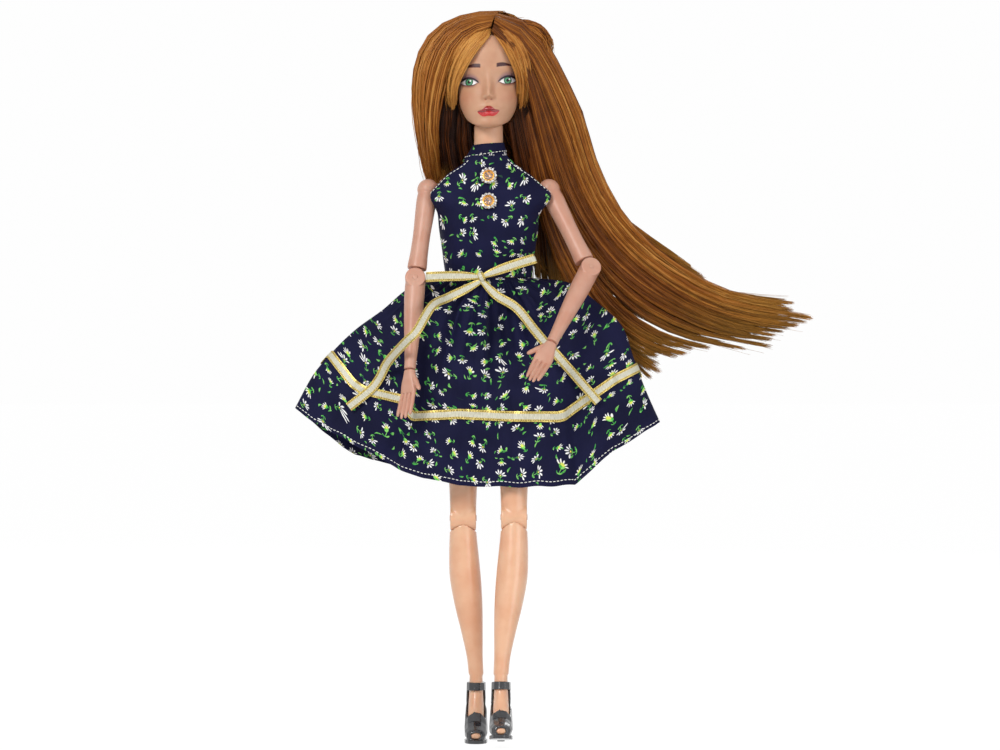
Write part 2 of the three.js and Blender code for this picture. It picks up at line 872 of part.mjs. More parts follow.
// Legs.
const thighShares = [
  [0, 0.86, 0.84],
  [0.1, 0.96, 0.98, 0.15],
  [0.25, 0.94, 0.98, 0.13],
  [0.45, 0.85, 0.9, 0.07],
  [0.65, 0.74, 0.78],
  [0.82, 0.66, 0.61, 0, -0.05],
  [0.94, 0.63, 0.51, 0, -0.1],
  [1, 0.62, 0.5, 0, -0.1],
];
const calfShares = [
  [0, 0.82, 0.74],
  [0.1, 0.86, 0.8, 0, 0.04],
  [0.22, 0.94, 0.94, -0.04, 0.14],
  [0.38, 1, 1, -0.14, 0.2],
  [0.55, 0.9, 0.88, -0.34, 0.12],
  [0.72, 0.7, 0.68, -0.56, 0.02],
  [0.88, 0.52, 0.53, -0.74, -0.02],
  [1, 0.48, 0.5, -0.83, 0],
];

function hipLink(side) {
  const reach = hip.x - fit.seat / 2;
  const stem = alongX(cylinder(hip.stemRadius, reach - hip.capRadius, facets.stem))
    .translate([-side * (reach + hip.capRadius) / 2, 0, 0]);
  const flange = alongX(cylinder(hip.flangeRadius, hip.flangeThick, facets.stem))
    .translate([-side * (reach - hip.flangeThick / 2), 0, 0]);
  return tongue({
    radius: hip.tangRadius,
    thick: hip.tangThick,
    neckHalf: hip.neckHalfHeight,
    reach: hip.capRadius + fit.running,
    angle: side > 0 ? 180 : 0,
  })
    .add(stem)
    .add(flange)
    .subtract(pinBore(hip.pinRadius, hip.capRadius));
}

function thigh(side) {
  const length = height.hip - height.knee;
  const shaft = limb(thighShares, {
    length: length - hip.capRadius / 4,
    from: -hip.capRadius / 4,
    halfWidth: leg.thighHalfWidth * side,
    halfDepth: leg.thighHalfDepth,
    rings: 7,
  });
  const knee = alongX(cylinder(leg.barrelRadius, 2 * leg.barrelHalfLength, facets.barrel))
    .translate([0, 0, -length]);
  const slotThick = leg.tongueThick + 2 * fit.running;
  const low = leg.neckHalfDepth + fit.running;
  const reach = leg.barrelRadius + fit.overrun + low;
  const kneeSlot = box(slotThick, reach, reach)
    .translate([0, reach / 2 - low, low - reach / 2])
    .add(alongX(cylinder(leg.tongueRadius + fit.running, slotThick)))
    .translate([0, 0, -length]);
  return ball(hip.capRadius)
    .add(shaft)
    .add(knee)
    .subtract(slot({
      radius: hip.tangRadius,
      thick: hip.tangThick,
      neckHalf: hip.neckHalfHeight,
      reach: hip.capRadius + fit.overrun,
      toward: -side,
      drop: hip.capRadius * sin(hip.inward),
    }))
    .subtract(pinBore(hip.pinRadius, bodyReach))
    .subtract(kneeSlot)
    .subtract(alongX(pinBore(leg.pinRadius, bodyReach)).translate([0, 0, -length]));
}

// Feet, arched for heels. Rows: ahead, up and pitch of each section, then half width and half
// height shares. Ahead follows the reach, and up the height of the ankle.
const footShares = [
  [0, 1, 0, 0.74, 0.66],
  [-0.02, 0.8, 0.1, 0.78, 0.8],
  [0, 0.6, 0.28, 0.84, 1],
  [0.22, 0.41, 0.5, 0.92, 0.86],
  [0.52, 0.225, 0.68, 1, 0.64],
  [0.78, 0.152, 0.86, 1, 0.46],
  [0.98, 0.122, 1, 0.8, 0.32],
  [1.08, 0.112, 1, 0.4, 0.18],
];

function footSolid(side, grow, rings = 8) {
  return loft(
    range(rings + 1, (i) => {
      const [ahead, up, pitch, wide, deep] = rowAt(footShares, i / rings);
      const tilt = (-pitch * PI) / 2;
      const flat = oval({
        z: 0,
        width: wide * foot.halfWidth + grow,
        front: deep * foot.halfHeight + grow,
        sides: facets.limb,
        power: 2.2,
      });
      const x = -side * leg.ankleIn;
      const y = -ahead * foot.reach;
      const z = up * leg.ankleHeight - height.knee;
      return flat.map((p) => p.applyAxisAngle(xAxis, tilt).add(new THREE.Vector3(x, y, z)));
    }),
  );
}

function calf(side) {
  const top = leg.barrelRadius + fit.seat;
  const length = height.knee - leg.ankleHeight;
  const shaft = limb(calfShares, {
    length: length + fit.seat,
    halfWidth: leg.calfHalfWidth * side,
    halfDepth: leg.calfHalfDepth,
    rings: 10,
  });
  const cup = alongX(cylinder(top, bodyReach, facets.barrel));
  const backRoom = box(bodyReach, bodyReach, bodyReach)
    .translate([0, bodyReach / 2, bodyReach / 2])
    .rotate([-leg.bendRoom / degree, 0, 0]);
  const body = shaft.subtract(cup).subtract(backRoom);
  const neckLong = top + fit.overrun;
  const tonguePiece = alongX(cylinder(leg.tongueRadius, leg.tongueThick))
    .add(box(leg.tongueThick, 2 * leg.neckHalfDepth, neckLong).translate([0, 0, -neckLong / 2]));
  return body
    .add(tonguePiece)
    .add(footSolid(side, 0))
    .subtract(alongX(pinBore(leg.pinRadius, leg.tongueThick)));
}

// Shoes: a toe box, an ankle strap and an instep strap on a heel counter, over a sole and a heel.
function shoeSolid(side) {
  const centre = -side * leg.ankleIn;
  const ground = -height.knee;
  const reach = 2 * foot.reach;
  const skin = footSolid(side, fit.seat);
  const at = (body, y, z) => body.translate([centre, y, ground + z]);
  const block = () => box(reach, reach, reach);
  const strap = (low) => at(box(reach, reach, shoe.strapHeight), 0, low + shoe.strapHeight / 2);
  const instepBand = box(reach, reach, shoe.strapHeight).rotate([shoe.instepTilt / degree, 0, 0]);
  const instep = at(instepBand, 0, shoe.instepLow);
  const toe = at(block(), -shoe.toeEdge - reach / 2, reach / 2);
  const counterHigh = shoe.ankleStrap + shoe.strapHeight;
  const counter = at(box(reach, reach, counterHigh), shoe.counterFront + reach / 2, counterHigh / 2);
  const bed = block()
    .translate([0, 0, -reach / 2])
    .rotate([shoe.bedTilt / degree, 0, 0])
    .translate([centre, 0, ground + shoe.bedHigh]);
  const kept = strap(shoe.ankleStrap).add(instep).add(toe).add(counter).add(bed);
  const sole = loft([0, shoe.soleThick].map((z) =>
    oval({ z, width: shoe.soleHalfWidth, front: shoe.soleLength / 2, sides: facets.barrel, power: 2.2 })));
  const { heelHigh } = shoe;
  const heel = alongZ(cylinder(shoe.heelTipRadius, heelHigh, facets.stem, shoe.heelTopRadius));
  return footSolid(side, fit.seat + shoe.wall)
    .intersect(kept)
    .add(at(sole, shoe.soleLength / 2 - shoe.soleToe, 0))
    .add(at(heel, shoe.heelBack, heelHigh / 2))
    .subtract(skin);
}

for (const [label, side] of sides) {
  const turn = pose[label];
  const swing = frame(`${label}_hip_swing`, doll, [side * hip.x, 0, height.hip], "x", -turn.hipSwing);
  add(`${label}_hip_link`, hipLink(side), linkPlastic, swing);
  const spread = frame(`${label}_hip_spread`, swing, [0, 0, 0]);
  add(`${label}_thigh`, thigh(side), legPlastic, spread);
  add(`${label}_hip_pin`, pinBody(hip.pinRadius, hip.capRadius), linkPlastic, spread);
  const kneeDrop = height.hip - height.knee;
  const knee = frame(`${label}_knee`, spread, [0, 0, -kneeDrop]);
  const kneePin = pinBody(leg.pinRadius, leg.barrelHalfLength + leg.pinProud);
  add(`${label}_knee_pin`, alongX(kneePin), linkPlastic, spread).position.set(0, 0, -kneeDrop);
  add(`${label}_calf`, calf(side), legPlastic, knee);
  add(`${label}_shoe`, shoeSolid(side), shoePlastic, knee);
}

// Bodice. Rows: height share from the waist up, half width share, front share, back share.
const bodiceShares = [
  [0, 0.885, 0.76, 0.74],
  [0.14, 0.9, 0.8, 0.76],
  [0.3, 0.955, 0.92, 0.8],
  [0.44, 1, 1, 0.82],
  [0.58, 1, 0.96, 0.82],
  [0.72, 0.98, 0.78, 0.78],
  [0.84, 0.9, 0.64, 0.7],
  [0.93, 0.66, 0.58, 0.66],
  [1, 0.5, 0.58, 0.64],
];
// Half outline of the halter, from the neck down, in shares of its half width and height.
const halterShares = [
  [0.47, 1.02],
  [0.5, 0.985],
  [0.62, 0.9],
  [0.8, 0.815],
  [0.97, 0.74],
  [1.05, 0.66],
  [1.05, -0.02],
];

const dressTop = height.shoulder + dress.topRise;
const dressRise = dressTop - height.waist;

function halterOutline() {
  const right = halterShares.map(([x, z]) => new THREE.Vector2(x * dress.halfWidth, z * dressRise));
  const left = right.map((p) => new THREE.Vector2(-p.x, p.y)).reverse();
  const sheet = new THREE.ExtrudeGeometry(new THREE.Shape([...left, ...right].reverse()), {
    depth: 2 * bodyReach,
    bevelEnabled: false,
  });
  return solid(sheet).rotate([90, 0, 0]).translate([0, bodyReach, height.waist]);
}

function bodiceSolid() {
  const outer = loft(
    range(10, (i) => {
      const [up, wide, front, back] = rowAt(bodiceShares, i / 9);
      return oval({
        z: height.waist + up * dressRise,
        width: wide * dress.halfWidth,
        front: front * dress.halfDepth,
        back: back * dress.halfDepth,
        power: 2.15,
        sides: facets.trunk,
      });
    }),
  );
  const ring = alongX(cylinder(dress.armhole, 2 * bodyReach, facets.barrel))
    .translate([0, 0, height.shoulder]);
  const middle = box(2 * (shoulder.x - dress.armhole), bodyReach, bodyReach)
    .translate([0, 0, height.shoulder]);
  const post = alongZ(cylinder(neck.radius + dress.collarEase, trunkTop, facets.barrel))
    .translate([0, neck.back, trunkTop]);
  return outer
    .intersect(halterOutline())
    .subtract(trunk(dress.ease))
    .subtract(ring.subtract(middle))
    .subtract(post);
}
add("bodice", bodiceSolid(), print);

// Collar band.
function collarSolid() {
  const { collarHeight, collarThick, collarEase } = dress;
  const collarLow = dressTop + fit.seat;
  const low = neck.radius + collarEase + collarThick / 2;
  const high = neck.radius + fit.seat + fit.running;
  const outline = [
    [low, collarLow + fit.seat],
    [low + collarThick, collarLow + fit.seat],
    [high + collarThick, collarLow + collarHeight],
    [high, collarLow + collarHeight],
    [low, collarLow + fit.seat],
  ].map(([x, y]) => new THREE.Vector2(x, y));
  return solid(new THREE.LatheGeometry(outline, facets.trunk))
    .rotate([90, 0, 0])
    .translate([0, neck.back, 0]);
}
add("collar", collarSolid(), print);

// The back closure: two narrow tapes, one on the other, down the middle of the back.
function closureTapeSolid(gap) {
  const grown = (extra) => loft(
    range(9, (i) => {
      const [up, wide, , back] = rowAt(bodiceShares, i / 8);
      return oval({
        z: height.waist + up * dressRise,
        width: wide * dress.halfWidth,
        front: dress.ease,
        back: back * dress.halfDepth + extra,
        power: 2.15,
        sides: facets.trunk,
      });
    }),
  );
  const low = height.waist + dress.closureLowRise;
  const high = height.shoulder + dress.closureTopRise;
  const tape = slab(low, high, bodyReach)
    .intersect(box(2 * dress.closureHalfWidth, bodyReach, 2 * high))
    .translate([0, bodyReach / 2 + dress.halfDepth / 3, 0]);
  return grown(gap + dress.closureThick).subtract(grown(gap)).intersect(tape);
}
add("closure_loop_tape", closureTapeSolid(fit.seat), closureTape);
add("closure_hook_tape", closureTapeSolid(2 * fit.seat + dress.closureThick), closureTape);

// Skirt: a gathered fan that lies flat from front to back.
// A place on it has a turn, from 0 at +X round the back to a full turn, and a fall from 0 at the
// waist to 1 at the hem.
function skirtPoint(turn, fall, out = 0) {
  const across = cos(turn);
  const along = sin(turn);
  const flat = abs(across);
  const left = across > 0;
  const reach = left ? skirt.leftReach : skirt.rightReach;
  const cornerDrop = left ? skirt.leftDrop : skirt.rightDrop;
  const elbow = left ? skirtBendShares.left : skirtBendShares.right;
  const waistZ = height.waist - skirt.waistDrop;
  const hemZ = height.waist - skirt.drop + (skirt.drop - cornerDrop) * flat ** 2.2;
  const depth = along < 0 ? skirt.front : skirt.back;
  const deep = sign(along) * abs(along) ** 1.3;
  const start = new THREE.Vector3(across * skirt.waistHalfWidth, deep * skirt.waistHalfDepth, waistZ);
  const end = new THREE.Vector3(across * reach, deep * depth, hemZ);
  const outShare = skirtBendShares.frontOut + (elbow.out - skirtBendShares.frontOut) * flat;
  const downShare = skirtBendShares.frontDown + (elbow.down - skirtBendShares.frontDown) * flat;
  const middle = new THREE.Vector3(
    start.x + (end.x - start.x) * outShare,
    start.y + (end.y - start.y) * skirtBendShares.frontOut,
    start.z + (end.z - start.z) * downShare,
  );
  const point = new THREE.QuadraticBezierCurve3(start, middle, end).getPoint(fall);
  const fold = skirt.foldOut * fall * cos(skirt.folds * turn + 1) * (1 - flat ** 4);
  const gather = skirt.gatherOut * (1 - fall) ** 2 * cos(skirt.gathers * turn);
  point.y += sign(along) * (fold + gather + out) * abs(along) ** 0.5;
  point.x += across * out;
  return point;
}
const skirtBendShares = {
  frontOut: 0.6,
  frontDown: 0.45,
  right: { out: 0.66, down: 0.2 },
  left: { out: 0.74, down: 0.02 },
};

// A closed band of cloth between two falls, with its inner face set in by a thickness.
function clothBand(from, to, rings, sides, outer, inner) {
  const spot = (ring, i, out) => skirtPoint((2 * PI * i) / sides, from + ((to - from) * ring) / rings, out);
  const points = [];
  const faces = [];
  for (let ring = 0; ring <= rings; ring += 1) {
    for (let i = 0; i < sides; i += 1) points.push(spot(ring, i, outer));
  }
  for (let ring = rings; ring >= 0; ring -= 1) {
    for (let i = 0; i < sides; i += 1) points.push(spot(ring, i, inner));
  }
  const rows = 2 * (rings + 1);
  for (let row = 0; row < rows; row += 1) {
    for (let i = 0; i < sides; i += 1) {
      const next = (i + 1) % sides;
      const below = ((row + 1) % rows) * sides;
      const here = row * sides;
      faces.push([here + i, here + next, below + next], [here + i, below + next, below + i]);
    }
  }
  return closed(points, faces);
}
add("skirt", clothBand(0, 1, 6, facets.skirt, 0, -skirt.cloth), print);

// Gold ribbon round the skirt.
const trimHalf = trim.width / 2 / skirt.drop;
add("skirt_ribbon",
  clothBand(
    trim.atShare - trimHalf,
    trim.atShare + trimHalf,
    1,
    facets.skirt,
    fit.seat + trim.thick,
    fit.seat,
  ),
  goldRibbon);

// The skirt's front at a place seen from the front: the foremost point within a ribbon's width.
const [frontRows, frontColumns] = [48, 96];
const skirtFrontPoints = range(frontRows + 1, (row) =>
  range(frontColumns + 1, (i) => skirtPoint(-(PI * i) / frontColumns, row / frontRows))).flat();

function skirtFrontAt(x, z) {
  const near = skirtFrontPoints.filter((p) => abs(p.x - x) < bow.tailWidth && abs(p.z - z) < bow.tailWidth);
  return near.reduce((front, p) => min(front, p.y), -skirt.waistHalfDepth);
}

// Bow: a knot, two loops and two tails of the same ribbon, tied at the waist.
const waistFront = bodiceShares[0][2] * dress.halfDepth;
const knotAt = new THREE.Vector3(bow.x, -waistFront - fit.seat - bow.knotHalfThick, height.waist);
add("bow_knot",
  ball(1).scale([bow.knotHalfWidth, bow.knotHalfThick, bow.knotHalfHeight])
    .translate([knotAt.x, knotAt.y - fit.seat, knotAt.z]),
  goldRibbon);

// A loop leaves the knot, swells and closes again. Rows: length share, half width and thick shares.
const loopShares = [
  [0, 0.5, 0.5],
  [0.1, 0.9, 0.8],
  [0.5, 1, 1],
  [0.9, 1.05, 0.9],
  [1, 1, 0.4],
];

function bowLoop(length, rise) {
  return limb(loopShares, {
    length: length - bow.knotHalfWidth - fit.seat,
    from: -bow.knotHalfWidth - fit.seat,
    halfWidth: bow.loopHalfWidth,
    halfDepth: bow.loopHalfThick,
    rings: 5,
    sides: 10,
    power: 3,
  })
    .rotate([0, rise / degree, 0])
    .translate([knotAt.x, knotAt.y - fit.seat, knotAt.z]);
}
add("bow_loop_right", bowLoop(bow.rightLoop, bow.rightLoopTurn), goldRibbon);
add("bow_loop_left", bowLoop(bow.leftLoop, bow.leftLoopTurn), goldRibbon);

// Tails. Rows: aside share, drop share, and how far in front of the skirt in shares of the proud.
const rightTailShares = [
  [0.05, 0.08, 0.1],
  [0.13, 0.1, 0],
  [0.25, 0.16, 0.15],
  [0.37, 0.23, 0.6],
  [0.48, 0.42, 1],
  [0.56, 0.5, 0.9],
  [0.7, 0.65, 0.25],
  [0.77, 0.78, 0],
  [0.84, 0.87, 0],
  [1, 1, 0],
];
const leftTailShares = [
  [0.05, 0.09, 0.1],
  [0.13, 0.15, 0],
  [0.3, 0.25, 0],
  [0.45, 0.42, 0],
  [0.54, 0.52, 0],
  [0.66, 0.64, 0],
  [1, 1, 0],
];

function bowTail(rows, aside, drop, proud) {
  const steps = 2 * (rows.length - 1);
  const spots = range(steps + 1, (i) => {
    const [x, z, out] = rowAt(rows, i / steps);
    return { x: knotAt.x + x * aside, z: knotAt.z - z * drop, out: out * proud };
  });
  return loft(spots.map((spot, i) => {
    const before = spots[max(i - 1, 0)];
    const after = spots[min(i + 1, steps)];
    const across = new THREE.Vector3(before.z - after.z, 0, after.x - before.x).setLength(bow.tailWidth / 2);
    const y = skirtFrontAt(spot.x, spot.z) - trim.thick - 2 * fit.seat - spot.out;
    return [[1, 0], [1, 1], [-1, 1], [-1, 0]].map(([wide, thick]) =>
      new THREE.Vector3(spot.x, y - thick * bow.tailThick, spot.z).addScaledVector(across, wide));
  }));
}
const rightTail = bowTail(rightTailShares, -bow.rightTailAside, bow.rightTailDrop, bow.proud);
add("bow_tail_right", rightTail, goldRibbon);
add("bow_tail_left", bowTail(leftTailShares, bow.leftTailAside, bow.leftTailDrop, bow.proud), goldRibbon);

// Two jewelled buttons on the chest: a cup with a ring of crystals fused to it, and a stone.
function bodiceFront(z) {
  const level = (z - height.waist) / dressRise;
  const rows = range(65, (i) => rowAt(bodiceShares, i / 64));
  return rows.find(([up]) => up >= level)[2] * dress.halfDepth;
}

function buttonPieces(z) {
  const low = bodiceFront(z - button.radius);
  const high = bodiceFront(z + button.radius);
  const slope = Math.atan2(low - high, 2 * button.radius) / degree;
  const front = max((low + high) / 2, bodiceFront(z)) + fit.seat;
  const seat = (body) => body.rotate([-slope, 0, 0]).translate([0, -front, z]);
  const thick = button.cupThick;
  let cup = cylinder(button.radius, thick, facets.barrel).translate([0, -thick / 2, 0]);
  for (let i = 0; i < button.beads; i += 1) {
    const bead = solid(new THREE.IcosahedronGeometry(button.beadRadius));
    const ring = button.radius - button.beadRadius;
    const turn = (2 * PI * i) / button.beads;
    cup = cup.add(bead.translate([ring * cos(turn), -thick, ring * sin(turn)]));
  }
  const stone = cylinder(button.tableRadius, button.stoneHigh, facets.bore, button.stoneRadius)
    .translate([0, -thick - fit.seat / 2 - button.stoneHigh / 2, 0]);
  return [seat(cup), seat(stone)];
}
for (const [label, rise] of [["upper", button.upperRise], ["lower", -button.lowerDrop]]) {
  const [cup, stone] = buttonPieces(height.shoulder + rise);
  add(`${label}_button`, cup, goldMetal);
  add(`${label}_button_stone`, stone, amberStone);
}

// Hair. The cap is the rooted hair close to the skull. The locks lie over it.
const skullGrown = (grow) => headSolid(grow, false, 10, facets.trunk);
const hairTop = height.crown + hair.thick;

function hairCap() {
  const face = box(2 * bodyReach, bodyReach, 2 * bodyReach)
    .rotate([-hair.lineTilt / degree, 0, 0])
    .translate([0, -bodyReach / 2 - hair.line, height.chin]);
  const low = slab(0, height.chin + hair.nape, bodyReach);
  return skullGrown(hair.thick).subtract(skullGrown(hair.scalp)).subtract(face).subtract(low);
}
const capBody = hairCap();
add("hair_cap", capBody.translate([0, -neck.back, 0]), hairFibre, headFrame);

// Locks. Rows: aside share of the reach, drop share, back share of the depth, half width share,
// half depth share. The locks near the face and the neck have a reach of their own.
const nearLockShares = {
  hair_lock_right: [
    [-0.3, 0.03, 0.1, 0.36, 0.9],
    [-0.6, 0.09, 0.1, 0.42, 1.1],
    [-0.75, 0.15, 0.1, 0.42, 1],
    [-0.875, 0.22, 0.1, 0.38, 0.8],
    [-0.95, 0.29, 0.05, 0.28, 0.6],
    [-0.99, 0.39, 0.05, 0.18, 0.4],
    [-0.95, 0.475, 0.1, 0.12, 0.3],
    [-0.89, 0.532, 0.15, 0.05, 0.15],
  ],
  hair_fringe_right: [
    [-0.05, 0.065, -0.5, 0.14, 0.24],
    [-0.225, 0.12, -0.6, 0.2, 0.24],
    [-0.425, 0.18, -0.55, 0.19, 0.26],
    [-0.535, 0.24, -0.4, 0.13, 0.26],
    [-0.565, 0.3, -0.3, 0.09, 0.22],
    [-0.545, 0.345, -0.28, 0.04, 0.1],
  ],
  hair_fringe_left: [
    [0.15, 0.065, -0.5, 0.16, 0.24],
    [0.3, 0.115, -0.6, 0.22, 0.24],
    [0.44, 0.16, -0.5, 0.21, 0.26],
    [0.54, 0.21, -0.4, 0.14, 0.26],
    [0.555, 0.26, -0.3, 0.1, 0.22],
    [0.53, 0.305, -0.28, 0.04, 0.1],
  ],
  hair_back: [
    [-0.15, 0.05, 0.5, 0.3, 0.7],
    [-0.4, 0.18, 0.68, 0.45, 0.8],
    [-0.5, 0.32, 0.72, 0.46, 0.62],
    [-0.425, 0.43, 0.8, 0.38, 0.5],
    [-0.25, 0.54, 0.85, 0.28, 0.42],
    [0.05, 0.66, 0.9, 0.18, 0.3],
    [0.3, 0.74, 0.92, 0.06, 0.15],
  ],
};
const fallLockShares = {
  hair_fall_outer: [
    [0.07, 0.035, 0.3, 0.3, 0.9],
    [0.15, 0.12, 0.35, 0.34, 1],
    [0.2, 0.24, 0.5, 0.34, 0.9],
    [0.25, 0.4, 0.62, 0.32, 0.8],
    [0.31, 0.56, 0.7, 0.3, 0.76],
    [0.36, 0.67, 0.72, 0.3, 0.72],
    [0.435, 0.775, 0.75, 0.3, 0.7],
    [0.56, 0.875, 0.72, 0.29, 0.64],
    [0.735, 0.96, 0.6, 0.25, 0.5],
    [0.9, 1, 0.5, 0.16, 0.34],
    [1, 1.005, 0.5, 0.05, 0.12],
  ],
  hair_fall_middle: [
    [0.04, 0.08, 0.66, 0.36, 0.7],
    [0.1, 0.25, 0.76, 0.38, 0.74],
    [0.16, 0.42, 0.8, 0.36, 0.66],
    [0.225, 0.59, 0.84, 0.32, 0.64],
    [0.28, 0.72, 0.84, 0.32, 0.62],
    [0.37, 0.84, 0.84, 0.32, 0.6],
    [0.51, 0.95, 0.76, 0.3, 0.54],
    [0.7, 1.03, 0.62, 0.26, 0.44],
    [0.85, 1.055, 0.52, 0.16, 0.3],
    [0.93, 1.055, 0.5, 0.04, 0.1],
  ],
  hair_fall_inner: [
    [0.02, 0.2, 0.9, 0.34, 0.5],
    [0.06, 0.4, 0.86, 0.34, 0.5],
    [0.15, 0.615, 0.88, 0.32, 0.5],
    [0.205, 0.76, 0.88, 0.32, 0.5],
    [0.295, 0.895, 0.88, 0.32, 0.48],
    [0.44, 1.02, 0.82, 0.28, 0.44],
    [0.6, 1.085, 0.66, 0.2, 0.36],
    [0.7, 1.1, 0.58, 0.12, 0.24],
    [0.77, 1.11, 0.52, 0.04, 0.1],
  ],
};

function lock(rows, reach, grow) {
  const steps = rows.length + 1;
  const spots = range(steps + 1, (i) => {
    const [aside, drop, back, wide, deep] = rowAt(rows, i / steps);
    return {
      at: new THREE.Vector3(aside * reach, back * hair.depth, hairTop - drop * hair.drop),
      wide: wide * hair.lockHalfWidth + grow,
      deep: deep * hair.lockHalfDepth + grow,
    };
  });
  return loft(spots.map(({ at, wide, deep }, i) => {
    const before = spots[max(i - 1, 0)].at;
    const after = spots[min(i + 1, steps)].at;
    const turn = Math.atan2(after.x - before.x, before.z - after.z);
    return oval({ z: 0, width: wide, front: deep, sides: 12 }).map((p) =>
      new THREE.Vector3(p.x * cos(turn), p.y, p.x * sin(turn)).add(at));
  }));
}

// Trimming a lock by its neighbours can leave slivers, and only the lock itself is kept.
const mainPiece = (body) => body.decompose().reduce((a, b) => (a.volume() > b.volume() ? a : b));

let occupied = skullGrown(hair.thick + fit.seat);
function addLocks(shares, reach) {
  for (const [name, rows] of Object.entries(shares)) {
    const body = mainPiece(lock(rows, reach, 0).subtract(occupied));
    occupied = occupied.add(lock(rows, reach, fit.seat));
    add(name, body.translate([0, -neck.back, 0]), hairFibre, headFrame);
  }
}
addLocks(nearLockShares, hair.nearReach);
addLocks(fallLockShares, hair.reach);

// The origin is under the middle of the doll, on the floor.
const bounds = new THREE.Box3().setFromObject(doll);
const middle = bounds.getCenter(new THREE.Vector3());
doll.position.set(-middle.x, -middle.y, -bounds.min.z);

export default doll;
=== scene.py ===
# %% [markdown]
# This lesson dresses a jointed fashion doll. The frame holds the solid pieces at their real size: shells,
# links, limbs, pins, cloth and hair as plain solids. Here each visible piece gets its fine surface: smooth
# plastic limbs, a painted vinyl face, rooted hair made of strands, a printed cotton dress with gathers and
# stitches, satin ribbon with gold edges, jewelled buttons and glossy shoes.

# %% The frame
import json
import math
import bpy
import numpy as np
from mathutils import Matrix, Vector


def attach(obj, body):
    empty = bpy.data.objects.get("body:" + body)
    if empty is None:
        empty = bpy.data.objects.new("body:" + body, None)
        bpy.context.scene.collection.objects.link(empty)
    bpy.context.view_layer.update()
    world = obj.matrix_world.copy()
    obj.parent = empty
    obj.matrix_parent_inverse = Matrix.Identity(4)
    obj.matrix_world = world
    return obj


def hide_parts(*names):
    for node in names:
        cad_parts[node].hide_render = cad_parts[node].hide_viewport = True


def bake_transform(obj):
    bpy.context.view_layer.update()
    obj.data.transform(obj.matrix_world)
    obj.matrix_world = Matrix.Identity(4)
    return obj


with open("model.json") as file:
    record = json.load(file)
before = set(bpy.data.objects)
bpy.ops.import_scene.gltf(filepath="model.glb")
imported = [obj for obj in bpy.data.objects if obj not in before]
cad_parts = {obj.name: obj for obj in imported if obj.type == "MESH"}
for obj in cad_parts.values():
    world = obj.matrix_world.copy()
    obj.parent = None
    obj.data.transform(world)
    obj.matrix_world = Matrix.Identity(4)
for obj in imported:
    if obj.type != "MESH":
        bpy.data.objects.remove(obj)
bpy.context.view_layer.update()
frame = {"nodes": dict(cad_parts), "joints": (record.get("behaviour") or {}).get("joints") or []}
joints = {joint["name"]: joint for joint in frame["joints"]}
MM = 0.001
DEGREE = math.pi / 180
TURN = 2 * math.pi
seeded = np.random.default_rng(7)
print("pieces in the frame:", len(frame["nodes"]))

# %% [markdown]
# Every place on the doll is given in millimetres from the middle plane of the doll, from the plane through
# its shoulders and from the floor. The head turns about the neck, so the joint of the head gives that origin.

# %% Places on the doll
NECK_BACK = 1.0
neck_joint = joints["head_turn"]["pos_m"]
origin = Vector((neck_joint[0], neck_joint[1] - NECK_BACK * MM, 0))


def spot(x, y, z):
    return origin + Vector((x, y, z)) * MM


def axis_of(joint):
    return Vector(joints[joint]["axis"]).normalized()


def place_of(joint):
    return Vector(joints[joint]["pos_m"])


def frame_of(place, x=None, y=None, z=None):
    """A matrix at a place from two of its axes."""
    x = x or y.cross(z).normalized()
    z = z or x.cross(y).normalized()
    y = z.cross(x).normalized()
    turned = Matrix((x, y, z)).transposed().to_4x4()
    return Matrix.Translation(place) @ turned


def joint_frame(label, at, **axes):
    """A matrix at a joint of one side, turned to the axes of joints of that side."""
    return frame_of(place_of(label + at), **{key: axis_of(label + name) for key, name in axes.items()})


def placed(name, data):
    """A new object in the scene."""
    obj = bpy.data.objects.new(name, data)
    bpy.context.scene.collection.objects.link(obj)
    return obj


def fresh(add, **settings):
    """A new primitive, selected alone."""
    bpy.ops.object.select_all(action="DESELECT")
    add(**settings)
    return bpy.context.active_object


# %% [markdown]
# The camera looks straight at the front from far enough away that the depth of the doll hardly shows. The
# photograph is 1000 pixels wide and shows 0.41 mm in each, which sets the width of the view.

# %% Camera
PIXEL = 0.41
VIEW_WIDTH = 1000 * PIXEL
VIEW_CENTRE = (4.7, 149.65)
CAMERA_AWAY = 1600.0
SENSOR = 36.0
FARTHEST = 20.0

camera_data = bpy.data.cameras.new("camera")
camera_data.sensor_width = SENSOR
camera_data.lens = SENSOR * CAMERA_AWAY / VIEW_WIDTH
camera_data.clip_end = FARTHEST
camera = placed("camera", camera_data)
camera.location = spot(VIEW_CENTRE[0], -CAMERA_AWAY, VIEW_CENTRE[1])
camera.rotation_euler = (90 * DEGREE, 0, 0)
bpy.context.scene.camera = camera
bpy.context.scene.view_settings.view_transform = "Standard"
print("lens in mm:", round(camera_data.lens, 1))

# %% [markdown]
# A shader is a net of nodes, and a long formula in nodes is hard to read. This small class wraps a socket,
# so that sums, products and masks are written as ordinary expressions, and each one adds its Math node.

# %% Shader expressions


def feed(tree, socket, value):
    if isinstance(value, Flow):
        tree.links.new(value.socket, socket)
    else:
        socket.default_value = value


